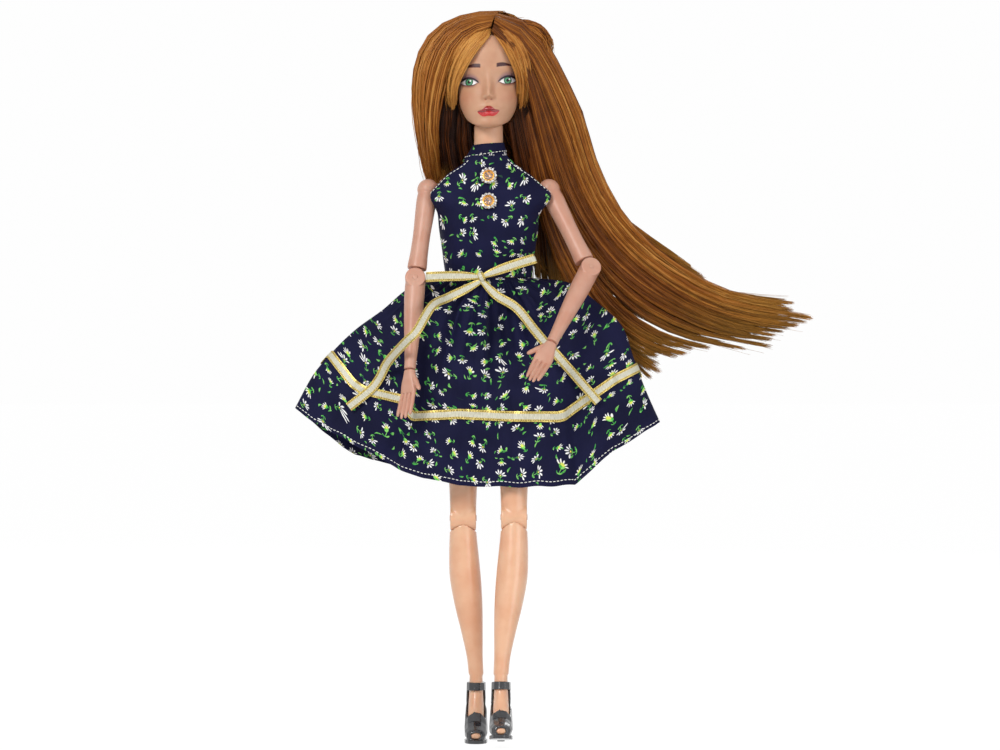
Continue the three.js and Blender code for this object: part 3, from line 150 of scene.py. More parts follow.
class Flow:
    """A value that runs through a shader."""

    def __init__(self, tree, socket):
        self.tree = tree
        self.socket = socket

    def math(self, operation, *others):
        node = self.tree.nodes.new("ShaderNodeMath")
        node.operation = operation
        for socket, value in zip(node.inputs, (self, *others)):
            feed(self.tree, socket, value)
        return Flow(self.tree, node.outputs[0])

    def __add__(self, other):
        return self.math("ADD", other)

    def __sub__(self, other):
        return self.math("SUBTRACT", other)

    def __mul__(self, other):
        return self.math("MULTIPLY", other)

    def __truediv__(self, other):
        return self.math("DIVIDE", other)

    def __pow__(self, other):
        return self.math("POWER", other)

    def __rsub__(self, other):
        return self.math("MULTIPLY", -1.0) + other

    def __neg__(self):
        return self.math("MULTIPLY", -1.0)

    def __abs__(self):
        return self.math("ABSOLUTE")

    __radd__ = __add__
    __rmul__ = __mul__

    def least(self, other):
        return self.math("MINIMUM", other)

    def most(self, other):
        return self.math("MAXIMUM", other)

    def ramp(self, low, high):
        """0 below low and 1 above high, with a soft step between. Low may be the larger."""
        node = self.tree.nodes.new("ShaderNodeMapRange")
        node.interpolation_type = "SMOOTHSTEP"
        start, end, first, last = (low, high, 0.0, 1.0) if low < high else (high, low, 1.0, 0.0)
        for socket, value in zip(node.inputs, (self, start, end, first, last)):
            feed(self.tree, socket, value)
        return Flow(self.tree, node.outputs[0])

    def inside(self, edge, soft):
        """1 where the value is under the edge."""
        return self.ramp(edge + soft, edge - soft)


class Finish:
    """A material with one Principled shader, whose constant sockets are given by name."""

    def __init__(self, name, **fixed):
        self.material = bpy.data.materials.new(name)
        self.material.use_nodes = True
        self.tree = self.material.node_tree
        self.shader = self.tree.nodes["Principled BSDF"]
        for key, value in fixed.items():
            self.shader.inputs[key.replace("_", " ")].default_value = value

    def node(self, kind, settings=None, output=0, **values):
        node = self.tree.nodes.new(kind)
        for key, value in (settings or {}).items():
            setattr(node, key, value)
        for key, value in values.items():
            feed(self.tree, node.inputs[key.replace("_", " ")], value)
        return Flow(self.tree, node.outputs[output])

    def split(self, vector):
        node = self.tree.nodes.new("ShaderNodeSeparateXYZ")
        feed(self.tree, node.inputs[0], vector)
        return [Flow(self.tree, socket) for socket in node.outputs]

    def join(self, x, y, z=0.0):
        return self.node("ShaderNodeCombineXYZ", X=x, Y=y, Z=z)

    def object_place(self):
        """Millimetres from the doll's origin."""
        vector = self.node("ShaderNodeTexCoord", output="Object")
        moved = dict(Location=tuple(-origin / MM), Scale=(1 / MM,) * 3)
        return self.node("ShaderNodeMapping", Vector=vector, **moved)

    def cloth_place(self, name):
        return self.node("ShaderNodeUVMap", {"uv_map": name})

    def attribute(self, name):
        return self.node("ShaderNodeAttribute", {"attribute_name": name}, output="Fac")

    def noise(self, vector, scale, detail=3.0):
        return self.node("ShaderNodeTexNoise", Vector=vector, Scale=scale, Detail=detail)

    def mix(self, factor, first, second):
        node = self.tree.nodes.new("ShaderNodeMix")
        node.data_type = "RGBA"
        feed(self.tree, node.inputs["Factor"], factor)
        feed(self.tree, node.inputs["A"], first)
        feed(self.tree, node.inputs["B"], second)
        return Flow(self.tree, node.outputs["Result"])

    def feed(self, name, value):
        feed(self.tree, self.shader.inputs[name], value)

    def bump(self, height, distance, strength=1.0):
        self.feed("Normal", self.node("ShaderNodeBump", Height=height, Distance=distance, Strength=strength))


def colour(red, green, blue):
    """A colour as seen on a screen, from 0 to 255, made linear."""
    parts = []
    for value in (red, green, blue):
        share = value / 255
        parts.append(share / 12.92 if share <= 0.04045 else ((share + 0.055) / 1.055) ** 2.4)
    return (*parts, 1.0)


def mottled(name, scale, detail, tones, rough, relief=None, **fixed):
    """A finish with one noise in its tones, its roughness and its relief.

    Tones are two edges and two colours, rough is a range and a base, and relief a height and a strength."""
    finish = Finish(name, **fixed)
    noise = finish.noise(finish.object_place(), scale, detail)
    if tones:
        low, high, first, second = tones
        finish.feed("Base Color", finish.mix(noise.ramp(low, high), first, second))
    finish.feed("Roughness", noise * rough[0] + rough[1])
    if relief:
        finish.bump(noise, *relief)
    return finish


# %% [markdown]
# The floor is a wide pale sheet and the room round it is the same near white, so the doll can be seen
# from every side. The camera and the reflections see both nearly white, and a faint soft shadow stays on
# the floor. Three soft lamps and an even world light the doll at a plain level.

# %% Floor and light
FLOOR_SIZE = 60.0
PAPER_TONE = (0.86, 0.86, 0.86, 1)
PAPER_SHARE = 0.86
PAPER_GLOW = 1.09
WHITE = (1, 1, 1, 1)
ROOM_LIGHT = 0.4
ROOM_SEEN = 0.99
LAMPS_AIM = (0, 0, 170)
# Place in mm, size in m and power in W.
LAMPS = {
    "key": ((-700, -1300, 1000), 0.6, 14),
    "fill": ((1000, -1100, 400), 0.9, 5.5),
    "rim": ((300, 1200, 900), 0.7, 6.5),
}


def seen_directly(tree):
    """1 for rays from the camera and for rays that reflections and glass send out."""
    path = tree.nodes.new("ShaderNodeLightPath")
    flags = [Flow(tree, path.outputs[f"Is {kind} Ray"]) for kind in ("Camera", "Glossy", "Transmission")]
    return flags[0].most(flags[1]).most(flags[2])


floor = fresh(bpy.ops.mesh.primitive_plane_add, size=FLOOR_SIZE, location=(0, 0, 0))
floor.name = "floor"
paper = Finish("paper", Roughness=0.9, Base_Color=PAPER_TONE)
glow = paper.node("ShaderNodeEmission", Color=WHITE, Strength=PAPER_GLOW)
blend = paper.tree.nodes.new("ShaderNodeMixShader")
feed(paper.tree, blend.inputs[0], seen_directly(paper.tree) * PAPER_SHARE)
paper.tree.links.new(paper.shader.outputs[0], blend.inputs[1])
paper.tree.links.new(glow.socket, blend.inputs[2])
paper.tree.links.new(blend.outputs[0], paper.tree.nodes["Material Output"].inputs[0])
floor.data.materials.append(paper.material)

world = bpy.data.worlds.new("soft room")
bpy.context.scene.world = world
world.use_nodes = True
room = world.node_tree.nodes["Background"]
room.inputs[0].default_value = WHITE
feed(world.node_tree, room.inputs[1], seen_directly(world.node_tree) * (ROOM_SEEN - ROOM_LIGHT) + ROOM_LIGHT)

for name, (place, size, power) in LAMPS.items():
    light = bpy.data.lights.new(name, "AREA")
    light.shape = "DISK"
    light.size = size
    light.energy = power
    lamp = placed(name, light)
    lamp.location = spot(*place)
    lamp.rotation_euler = (spot(*LAMPS_AIM) - lamp.location).to_track_quat("-Z", "Y").to_euler()

# %% [markdown]
# Most forms on a doll are tubes: limbs, the head, the skirt. Each starts as a grid whose columns run round
# the form and whose rows run along it. The points move to their places by a formula, then the seam and the
# poles are welded. The grid keeps its UV map, so a pattern can follow the surface.

# %% Rolled forms


def only(obj):
    bpy.ops.object.select_all(action="DESELECT")
    obj.select_set(True)
    bpy.context.view_layer.objects.active = obj


def weld(obj, gap=1e-6, outward=True):
    """Joins points that are closer than the gap, and turns the faces outward."""
    only(obj)
    bpy.ops.object.mode_set(mode="EDIT")
    bpy.ops.mesh.select_all(action="SELECT")
    if gap:
        bpy.ops.mesh.remove_doubles(threshold=gap)
    if outward:
        bpy.ops.mesh.normals_make_consistent(inside=False)
    bpy.ops.object.mode_set(mode="OBJECT")


def rolled(name, columns, rows, place, uv=None, outward=True):
    """A grid whose point at u, v goes to place(u, v), in metres. uv(u, v) sets the flat place in mm."""
    obj = fresh(bpy.ops.mesh.primitive_grid_add, x_subdivisions=columns, y_subdivisions=rows, size=1)
    obj.name = name
    mesh = obj.data
    flat = np.empty(len(mesh.vertices) * 3)
    mesh.vertices.foreach_get("co", flat)
    flat = flat.reshape(-1, 3)
    u = flat[:, 0] + 0.5
    v = flat[:, 1] + 0.5
    if uv:
        corner = np.empty(len(mesh.loops), int)
        mesh.loops.foreach_get("vertex_index", corner)
        across, along = uv(u[corner], v[corner])
        layer = mesh.uv_layers.active
        layer.name = "cloth"
        layer.data.foreach_set("uv", np.stack([across, along], 1).ravel())
    mesh.vertices.foreach_set("co", np.asarray(place(u, v), float).ravel())
    mesh.update()
    weld(obj, outward=outward)
    bpy.ops.object.shade_smooth()
    return obj


def row_at(table, share):
    """Smooth rows between the rows of a table, at shares from 0 to 1, as a list of columns."""
    table = np.asarray(table, float)
    last = len(table) - 1
    at = np.clip(share, 0, 1) * last
    i = np.minimum(np.floor(at).astype(int), last - 1)
    f = (at - i)[..., None]
    p, a, b, n = (table[np.clip(i + step, 0, last)] for step in (-1, 0, 1, 2))
    rows = a + f * (b - p + f * (2 * p - 5 * a + 4 * b - n + f * (3 * (a - b) + n - p))) / 2
    return np.moveaxis(rows, -1, 0)


def clamp(value):
    return np.clip(value, 0, 1)


def bell(value, middle, width):
    """A soft hump, 1 at its middle."""
    return np.exp(-(((value - middle) / width) ** 2))


def unit(vectors):
    return vectors / (np.linalg.norm(vectors, axis=-1, keepdims=True) + 1e-9)


def averaged(values, reach, mode="edge"):
    """The mean of each value and its neighbours within reach."""
    width = 2 * reach + 1
    return np.convolve(np.pad(values, reach, mode=mode), np.ones(width) / width, mode="valid")


def lengths_along(path):
    """The length of a path up to each of its points."""
    return np.concatenate([[0], np.cumsum(np.linalg.norm(np.diff(path, axis=0), axis=1))])


def sampled(at, known, rows):
    """Rows of a curve at some places along it, from its rows at known places."""
    return np.stack([np.interp(at, known, column) for column in np.asarray(rows).T], 1)


def oval(angle, width, front, back=None, power=2.0):
    """x and y on an oval, which may be deeper behind than in front. More power squares it."""
    across = np.cos(angle)
    along = np.sin(angle)
    depth = front if back is None else np.where(along < 0, front, back)
    x = width * np.sign(across) * np.abs(across) ** (2 / power)
    y = depth * np.sign(along) * np.abs(along) ** (2 / power)
    return x, y


def settle(obj, matrix):
    """Moves points in millimetres to a frame in metres."""
    obj.data.transform(matrix @ Matrix.Scale(MM, 4))
    obj.data.update()
    return obj


def coat(obj, finish):
    obj.data.materials.clear()
    obj.data.materials.append(finish.material)


def dress(obj, finish, slot, body, *nodes):
    """The finish, the record's slot, which is not used, the body that carries the piece, and the solids it
    stands for.
    """
    coat(obj, finish)
    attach(obj, body)
    if nodes:
        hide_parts(*nodes)
    print(obj.name, len(obj.data.polygons), "faces")
    return obj


def apply(obj, kind, **settings):
    only(obj)
    modifier = obj.modifiers.new(kind.lower(), kind)
    for key, value in settings.items():
        setattr(modifier, key, value)
    bpy.ops.object.modifier_apply(modifier=modifier.name)
    return obj


def join(first, *others):
    only(first)
    for obj in others:
        obj.select_set(True)
    bpy.ops.object.join()
    return first


def cut(obj, *tools):
    """Takes the tools out of the piece and deletes them."""
    for tool in tools:
        apply(obj, "BOOLEAN", object=tool, operation="DIFFERENCE", solver="EXACT")
        bpy.data.objects.remove(tool)
    return obj


def fuse(obj, voxel, smooth=4):
    """Melts overlapping forms into one skin, as they come out of a mould."""
    apply(obj, "REMESH", mode="VOXEL", voxel_size=voxel)
    apply(obj, "SMOOTH", factor=0.5, iterations=smooth)
    only(obj)
    bpy.ops.object.shade_smooth()
    return obj


def drum(radius, length, place=(0, 0, 0), along="Y", edge=0.0, sides=40):
    """A cylinder in millimetres along an axis, with rounded edges."""
    turn = {"X": (0, 90 * DEGREE, 0), "Y": (90 * DEGREE, 0, 0), "Z": (0, 0, 0)}[along]
    add = bpy.ops.mesh.primitive_cylinder_add
    obj = fresh(add, vertices=sides, radius=radius, depth=length, rotation=turn)
    bpy.ops.object.transform_apply(location=False, rotation=True, scale=False)
    if edge:
        apply(obj, "BEVEL", width=edge, segments=3, limit_method="ANGLE")
    obj.data.transform(Matrix.Translation(place))
    return obj


def block(x, y, z, place=(0, 0, 0)):
    """A box in millimetres."""
    obj = fresh(bpy.ops.mesh.primitive_cube_add, size=1)
    obj.data.transform(Matrix.Translation(place) @ Matrix.Diagonal((x, y, z, 1)))
    return obj


def limb(name, rows, length, half_width, half_depth, start=0.0, rings=60, columns=48, power=2.0, edge=0.35):
    """A limb in millimetres that hangs from its pivot. The ends are flat, with rounded edges."""

    def place(u, v):
        ring = np.round(v * (rings - 1))
        ends = np.minimum(ring, rings - 1 - ring)
        down, wide, deep, aside, aft = row_at(rows, (ring - 2) / (rings - 5))
        shrink = np.where(ends == 0, 0.0, 1.0)
        inset = np.where(ends == 1, edge, 0.0)
        z = start - down * length - np.where(ring == 2, edge, 0) + np.where(ring == rings - 3, edge, 0)
        width = (wide * abs(half_width) - inset) * shrink
        depth = (deep * half_depth - inset) * shrink
        x, y = oval(TURN * u, width, depth, power=power)
        return np.stack([x + aside * half_width, y + aft * half_depth, z], 1)

    return rolled(name, columns + 1, rings, place)


def full_rows(rows, count=5):
    """Rows of a table, filled up with zeros."""
    return [tuple(row) + (0,) * (count - len(row)) for row in rows]

# %% [markdown]
# Doll plastic isn't one flat colour. It is slightly cloudy inside, a little redder where it is thin, and the
# mould leaves a faint unevenness. Each plastic has its own tint and gloss: the arms are pinker and satin,
# the legs are glossier and more golden.

# %% Plastic finishes


def plastic(name, tone, roughness, coat):
    finish = Finish(
        name,
        Coat_Weight=coat,
        Coat_Roughness=0.25,
        Subsurface_Weight=0.12,
        Subsurface_Radius=(1.0, 0.35, 0.2),
        Subsurface_Scale=0.003,
        Specular_IOR_Level=0.45,
    )
    place = finish.object_place()
    cloud = finish.noise(place, 0.12, 3)
    speck = finish.noise(place, 2.2, 2)
    deep = tuple(channel * share for channel, share in zip(tone, (0.94, 0.84, 0.8))) + (1,)
    finish.feed("Base Color", finish.mix(cloud.ramp(0.35, 0.7), tone, deep))
    finish.feed("Roughness", speck * 0.08 + roughness)
    finish.bump(speck, 0.00002, 0.35)
    return finish


arm_finish = plastic("arm plastic", colour(203, 154, 132), 0.4, 0.12)
leg_finish = plastic("leg plastic", colour(235, 185, 149), 0.26, 0.3)
link_finish = plastic("link plastic", colour(200, 153, 128), 0.45, 0.05)
neck_finish = plastic("neck vinyl", colour(220, 175, 143), 0.42, 0.08)

# %% [markdown]
# The head is soft vinyl: a smooth egg with a small nose, sunk eye sockets, full lips and a pointed chin.
# It is modelled as stacked oval sections, and the features are soft bumps added to the front, each with
# its own place and size. Small faces can hold features that large ones can't, so the grid is fine.

# %% Head form
CHIN = 250.4
SKULL_TOP = 295.6
HEAD_HALF_WIDTH = 13.2
HEAD_FRONT = 13.0
HEAD_BACK = 15.4
HEAD_POWER = 2.15
HEAD_GRID = (201, 220)
EYE_HEIGHT = 269.2
EYE_SPACING = 15.9
NOSE_TIP = 263.4
MOUTH = 257.1
FACE_TILT = 0.05
HEAD_ROWS = [
    (0, 0.2, 0.86, -0.5),
    (0.03, 0.43, 0.93, -0.28),
    (0.07, 0.63, 0.955, 0.42),
    (0.12, 0.75, 0.965, 0.62),
    (0.18, 0.845, 0.97, 0.76),
    (0.25, 0.92, 0.97, 0.87),
    (0.34, 0.97, 0.97, 0.95),
    (0.45, 1, 0.98, 1),
    (0.57, 1.03, 1, 1),
    (0.69, 1.03, 0.985, 0.98),
    (0.8, 0.97, 0.91, 0.9),
    (0.89, 0.74, 0.75, 0.72),
    (0.96, 0.48, 0.48, 0.46),
    (1, 0.17, 0.16, 0.14),
]


def swell(x, z, half_width, half_height):
    return np.exp(-((x / half_width) ** 2) - (z / half_height) ** 2)


def face_relief(x, z):
    """How far the face stands out of the plain head, in millimetres."""
    z = z - FACE_TILT * x
    side = np.abs(x)
    eye_x = side - EYE_SPACING / 2
    eye_z = z - EYE_HEIGHT
    nose_z = z - NOSE_TIP
    mouth_z = z - MOUTH
    nose = 2.7 * swell(x, nose_z, 1.7, np.where(nose_z > 0, 4.2, 1.25))
    wings = 1.0 * swell(side - 1.9, nose_z + 0.7, 0.95, 1.0)
    bridge = 1.2 * swell(x, eye_z + 1, 1.7, 5.2)
    nostrils = -0.7 * swell(side - 1.1, nose_z + 1.6, 0.55, 0.4)
    sockets = -1.5 * swell(eye_x, eye_z + 0.2, 3.8, 2.9)
    eyeballs = 0.75 * swell(eye_x + 0.2, eye_z, 2.9, 1.8)
    lids = 0.28 * swell(eye_x, eye_z - 2.2 + 0.07 * eye_x**2, 3.6, 0.55)
    brows = 0.65 * swell(eye_x, eye_z - 5.6, 6.5, 2.2)
    cheeks = 0.6 * swell(eye_x + 0.4, z - 263.6, 4.4, 3.6)
    muzzle = 0.8 * swell(x, mouth_z, 5.0, 3.4)
    bow = 0.1 * np.cos(x * 2.1)
    upper_lip = 0.75 * swell(x, mouth_z - 0.95 - bow, 3.3, 0.85)
    lower_lip = 0.85 * swell(x, mouth_z + 1.05, 2.7, 0.95)
    parting = -0.4 * swell(x, mouth_z - 0.05, 4.2, 0.28)
    groove = -0.25 * swell(x, mouth_z - 3.1, 0.7, 1.2)
    under_lip = -0.35 * swell(x, mouth_z + 2.8, 3.0, 0.8)
    chin = 0.9 * swell(x, z - 252.2, 3.4, 2.0)
    return (
        nose + wings + bridge + nostrils + sockets + eyeballs + lids + brows + cheeks + muzzle
        + upper_lip + lower_lip + parting + groove + under_lip + chin
    )


def head_section(share, grow=0.0):
    """Height, middle, half width and half depth of the plain head at a share of its height."""
    up, wide, front, back = row_at(HEAD_ROWS, share)
    z = CHIN - grow + up * (SKULL_TOP - CHIN + 2 * grow)
    middle = (back * HEAD_BACK - front * HEAD_FRONT) / 2
    half_depth = (back * HEAD_BACK + front * HEAD_FRONT) / 2 + grow
    return z, middle, wide * HEAD_HALF_WIDTH + grow, half_depth


def head_place(u, v):
    share = clamp((v - 0.02) / 0.96)
    z, middle, half_width, half_depth = head_section(share)
    close = clamp(np.minimum(v, 1 - v) / 0.02)
    x, y = oval(TURN * u + math.pi / 2, half_width * close, half_depth * close, power=HEAD_POWER)
    y = y + middle
    facing = clamp(-y / HEAD_FRONT)
    ease = clamp((facing - 0.3) / 0.35)
    y = y - ease * ease * (3 - 2 * ease) * face_relief(x, z)
    return np.stack([x, y, z], 1)


def place_mm(obj):
    """Moves a form made in the doll's millimetres to its place in metres."""
    return settle(obj, Matrix.Translation(origin))


# %% [markdown]
# The face is painted, so its features are masks on the front of the head: almond eyes with green irises, dark
# upper lashes with violet shadow, brown lower lids, thin brows, red lips and a warm blush. Left and right
# share one set of masks through the absolute value of the width, and the reflections in the eyes don't.

# %% Face paint
EYE_HALF = 3.75
IRIS = 1.58
PUPIL = 0.64
BROW_HEIGHT = 275.3
BROW_ASIDE = 6.4
BROW_HALF = 3.4
NOSE_SIDE_HEIGHT = 265.6
CHEEK_HEIGHT = 262.4
LIP_HALF = 4.6


def face_finish():
    finish = Finish(
        "painted vinyl",
        Subsurface_Weight=0.15,
        Subsurface_Radius=(1.0, 0.35, 0.2),
        Subsurface_Scale=0.003,
        Coat_Roughness=0.12,
    )
    place = finish.object_place()
    x, y, z = finish.split(place)
    z = z - x * FACE_TILT
    side = abs(x)
    front = (y + 3).inside(0, 2)
    eye_x = side - EYE_SPACING / 2
    eye_z = z - EYE_HEIGHT
    cloud = finish.noise(place, 0.12, 3)
    paint = finish.mix(cloud.ramp(0.3, 0.75), colour(202, 155, 124), colour(191, 140, 109))

    def spread(from_x, from_z, half_width, half_height):
        """A soft round spot, 1 at its middle and 0 at its rim."""
        ring = ((from_x / half_width) ** 2.0 + (from_z / half_height) ** 2.0).math("SQRT")
        return ring.ramp(1.0, 0.0) * front

    blush = spread(eye_x - 1.0, z - CHEEK_HEIGHT, 5.5, 4.5)
    paint = finish.mix(blush * 0.2, paint, colour(211, 124, 100))
    # Painted shade down both sides of the nose.
    nose_side_shade = spread(side - 2.2, z - NOSE_SIDE_HEIGHT, 1.5, 5.0)
    paint = finish.mix(nose_side_shade * 0.22, paint, colour(189, 117, 89))
    # Painted shade in the nostril dents.
    nostril_shade = spread(side - 1.15, z - NOSE_TIP + 1.75, 0.75, 0.5)
    paint = finish.mix(nostril_shade * 0.75, paint, colour(144, 69, 53))

    outward = eye_x / EYE_HALF
    almond = 1 - outward * outward
    upper = almond * 1.55 + outward * 0.3
    lower = almond * -1.2 + outward * 0.25
    lid_height = eye_z - upper
    low_edge = lower - eye_z
    opening = lid_height.inside(0, 0.12) * low_edge.inside(0, 0.12)
    opening = opening * abs(eye_x).inside(EYE_HALF, 0.12) * front

    shadow_up = lid_height.ramp(3.0, 0.2) * lid_height.ramp(-0.4, 0.1)
    shadow = shadow_up * abs(eye_x - 0.5).inside(4.4, 1.6) * front
    paint = finish.mix(shadow * 0.8, paint, colour(107, 78, 102))
    under = low_edge.ramp(1.5, 0.0) * low_edge.ramp(-0.4, 0.1) * abs(eye_x - 0.7).inside(3.6, 1.4) * front
    paint = finish.mix(under * 0.85, paint, colour(124, 60, 56))

    white = finish.mix(abs(eye_x).ramp(1.6, 3.6), colour(252, 252, 252), colour(238, 218, 211))
    # Painted shadow of the upper lid across the top of the white.
    shade = lid_height.ramp(-1.1, -0.1)
    white = finish.mix(shade * 0.45, white, colour(133, 111, 122))
    iris_x = eye_x + 0.1
    ring = (iris_x * iris_x + (eye_z - 0.15) * (eye_z - 0.15)).math("SQRT")
    spokes = finish.noise(finish.join(iris_x.math("ARCTAN2", eye_z) * 6.0, ring * 0.6), 1.4, 2)
    green = finish.mix(ring.ramp(0.6, 1.7), colour(93, 173, 124), colour(16, 62, 46))
    green = finish.mix(spokes.ramp(0.4, 0.7) * 0.5, green, colour(44, 122, 87))
    eye = finish.mix(ring.inside(IRIS, 0.12), white, green)
    eye = finish.mix(ring.inside(IRIS + 0.02, 0.1) * ring.ramp(1.25, 1.5), eye, colour(16, 44, 40))
    eye = finish.mix(ring.inside(PUPIL, 0.1), eye, colour(8, 10, 12))
    glint_x = abs(x) - EYE_SPACING / 2 - x.math("SIGN") * 0.6
    glint = (glint_x**2.0 + (eye_z - 0.65) ** 2.0).math("SQRT").inside(0.34, 0.08)
    eye = finish.mix(glint, eye, WHITE)
    paint = finish.mix(opening, paint, eye)

    corner = (eye_x - 3.6).ramp(-1.5, 1.0)
    lash_thick = 0.42 + 0.45 * corner
    lash_line = abs(lid_height - 0.22 - corner * 0.25)
    lash = (lash_line - lash_thick).inside(0, 0.14) * abs(eye_x - 0.35).inside(4.3, 0.3) * front
    paint = finish.mix(lash, paint, colour(34, 22, 34))
    hairs = (eye_x * 4.2 + lid_height * 1.6).math("SINE").ramp(0.2, 0.8)
    fringe = hairs * lid_height.ramp(1.9, 0.9) * lid_height.ramp(0.1, 0.3) * (eye_x - 1.2).ramp(-1.2, 1.2)
    paint = finish.mix(fringe * abs(eye_x - 0.7).inside(4.3, 0.6) * front * 0.6, paint, colour(48, 30, 46))
    waterline = abs(0.12 - low_edge).inside(0.18, 0.1) * abs(eye_x).inside(3.6, 0.4) * front
    paint = finish.mix(waterline * 0.85, paint, colour(87, 42, 44))

    brow_x = side - BROW_ASIDE
    arch = BROW_HEIGHT + 0.5 * (1 - (brow_x / BROW_HALF) * (brow_x / BROW_HALF)) - 0.05 * brow_x
    taper = brow_x.ramp(3.6, -1.0) * 0.55 + 0.26
    brow_hair = finish.noise(finish.join(x * 0.9 + z * 0.5, z * 3.5), 1.6, 2)
    brow = (abs(z - arch) - taper - (brow_hair - 0.5) * 0.35).inside(0, 0.18)
    brow = brow * abs(brow_x).inside(3.1, 0.35) * front
    paint = finish.mix(brow, paint, colour(62, 20, 24))

    lip_x = side / LIP_HALF
    middle_line = MOUTH + 0.05 + 0.22 * (side * 1.35).math("COSINE") - 0.3 * lip_x * lip_x
    peak = (side - 1.0) / 1.4
    upper_edge = middle_line + (1 - lip_x * lip_x) * (1.45 + 0.4 * (1 - peak * peak).most(-0.6))
    lower_edge = middle_line - (1 - lip_x * lip_x).most(0.0) ** 0.7 * 2.35
    mouth = (z - upper_edge).inside(0, 0.16) * (lower_edge - z).inside(0, 0.16)
    mouth = mouth * side.inside(4.5, 0.15) * front
    # The red is the lips' own paint. On it, the upper lip is painted darker, as shade, the lower lip lighter,
    # as lit, and the dark line along the parting is painted shade.
    red = finish.mix((z - middle_line).ramp(-1.8, 0.4), colour(206, 13, 20), colour(155, 7, 13))
    crease = abs(z - middle_line).inside(0.16, 0.16)
    red = finish.mix(crease * 0.85, red, colour(93, 9, 16))
    paint = finish.mix(mouth, paint, red)

    speck = finish.noise(place, 2.2, 2)
    gloss = mouth.most(opening)
    finish.feed("Base Color", paint)
    finish.feed("Roughness", 0.44 + 0.06 * speck - 0.2 * gloss)
    finish.feed("Coat Weight", gloss * 0.7)
    finish.bump(speck, 0.00002, 0.3)
    return finish


head_piece = place_mm(rolled("head", *HEAD_GRID, head_place))
dress(head_piece, face_finish(), "face_vinyl", "head", "head_shell")

# %% [markdown]
# The neck is a smooth post, seen between the chin and the collar, with a flange below it and a knob inside
# the head. Its profile is drawn as an edge that is spun round the middle, the way a lathe would turn it.

# %% Neck


def smooth_edges(obj, angle=35):
    """Smooth shading, except at edges sharper than the angle."""
    only(obj)
    bpy.ops.object.shade_smooth_by_angle(angle=angle * DEGREE)
    return obj


def lathe(name, profile, steps=48):
    """Spins a profile of (radius, height) pairs round the vertical axis, in millimetres."""
    mesh = bpy.data.meshes.new(name)
    edges = [(i, i + 1) for i in range(len(profile) - 1)]
    mesh.from_pydata([(radius, 0, height) for radius, height in profile], edges, [])
    obj = placed(name, mesh)
    only(obj)
    bpy.ops.object.mode_set(mode="EDIT")
    bpy.ops.mesh.select_all(action="SELECT")
    bpy.ops.mesh.spin(steps=steps, angle=TURN, center=(0, 0, 0), axis=(0, 0, 1))
    bpy.ops.mesh.select_all(action="SELECT")
    bpy.ops.mesh.remove_doubles(threshold=1e-4)
    bpy.ops.mesh.normals_make_consistent(inside=False)
    bpy.ops.object.mode_set(mode="OBJECT")
    return smooth_edges(obj, 40)


NECK_PROFILE = [
    (0, 217.8), (7.2, 217.8), (7.4, 218.1), (7.4, 219.5), (7.2, 219.8), (6.1, 220.2), (5.95, 221),
    (5.95, 232), (5.95, 243), (5.9, 249), (5.85, 251.6), (5.5, 252.3), (4, 252.4), (4, 257.6), (5.6, 257.6),
    (6, 258), (6, 259.6), (4.4, 262), (2.4, 262.8), (0, 263),
]
neck_piece = settle(lathe("neck", NECK_PROFILE), Matrix.Translation(spot(0, NECK_BACK, 0)))
dress(neck_piece, neck_finish, "body_plastic", "torso", "neck_post")

# %% [markdown]
# The trunk is two moulded halves that meet in a fine seam. It mostly hides under the dress, so a copy of each
# solid is merged, melted into one even skin and smoothed, which keeps its sockets and rounds their edges.

# %% Trunk
TRUNK_VOXEL = 0.65


def melted(node, voxel, smooth):
    """A copy of a solid, melted into one even skin. The voxel is in millimetres."""
    obj = placed(node + "_skin", frame["nodes"][node].data.copy())
    weld(obj)
    return fuse(obj, voxel * MM, smooth)


for half in ("front", "back"):
    node = "torso_" + half
    dress(melted(node, TRUNK_VOXEL, 4), arm_finish, "body_plastic", "torso", node)

# %% [markdown]
# An arm is a ball at the shoulder, a tapered upper arm, a barrel at the elbow and a tapered forearm, each cut
# by the slot of its link. The overlapping forms are melted together as plastic flows in a mould, and then the
# slots are cut clean.

# %% Arms
SIDES = {"right": -1, "left": 1}
RUNNING = 0.2
SEAT = 0.3
UPPER_ARM_ROWS = [
    (0, 0.92, 0.92), (0.12, 0.99, 1), (0.3, 0.94, 1), (0.55, 0.86, 0.93), (0.8, 0.88, 0.93),
    (0.94, 0.95, 0.97), (1, 0.95, 0.97),
]
FOREARM_ROWS = [
    (0, 0.96, 0.96), (0.1, 0.99, 0.98), (0.25, 0.97, 0.98), (0.5, 0.85, 0.86), (0.75, 0.68, 0.7),
    (0.92, 0.58, 0.66), (1, 0.58, 0.68),
]
SHOULDER_CAP = 4.4
UPPER_ARM = 34.5
FOREARM = 38.0
ARM_HALF = 4.15
ARM_DEEP = 4.2
BARREL_HALF = 4.05
ELBOW_PIN = 1.05
ELBOW_PIN_PROUD = 0.5
ARM_VOXEL = 0.27
# Radius, thickness and half the neck of each link.
SHOULDER_DISC = (2.7, 2.4, 1.5)
ELBOW_DISC = (2.7, 2.2, 1.5)


def slot_tool(radius, thick, neck_half, reach, toward, drop=0.0):
    """The room of a link: a disc, and a box from one side round to the top."""
    gap = RUNNING
    low = neck_half + gap + drop
    wide = reach + neck_half + gap
    high = reach + low
    disc = drum(radius + gap, thick + 2 * gap)
    room = block(wide, thick + 2 * gap, high, (toward * (wide / 2 - neck_half - gap), 0, high / 2 - low))
    return disc, room


def ball(radius):
    return fresh(bpy.ops.mesh.primitive_uv_sphere_add, segments=48, ring_count=32, radius=radius)


def mould(obj, matrix, finish, slot, body, node):
    """Puts a piece made in millimetres in its place and dresses it."""
    return dress(settle(smooth_edges(obj), matrix), finish, slot, body, node)


def pin(label, joint, radius, length, place, along, matrix, finish, body):
    obj = drum(radius, length, place, along, edge=0.2)
    obj.name = label + joint + "_pin_head"
    mould(obj, matrix, finish, "link_plastic", label + body, label + joint + "_pin")


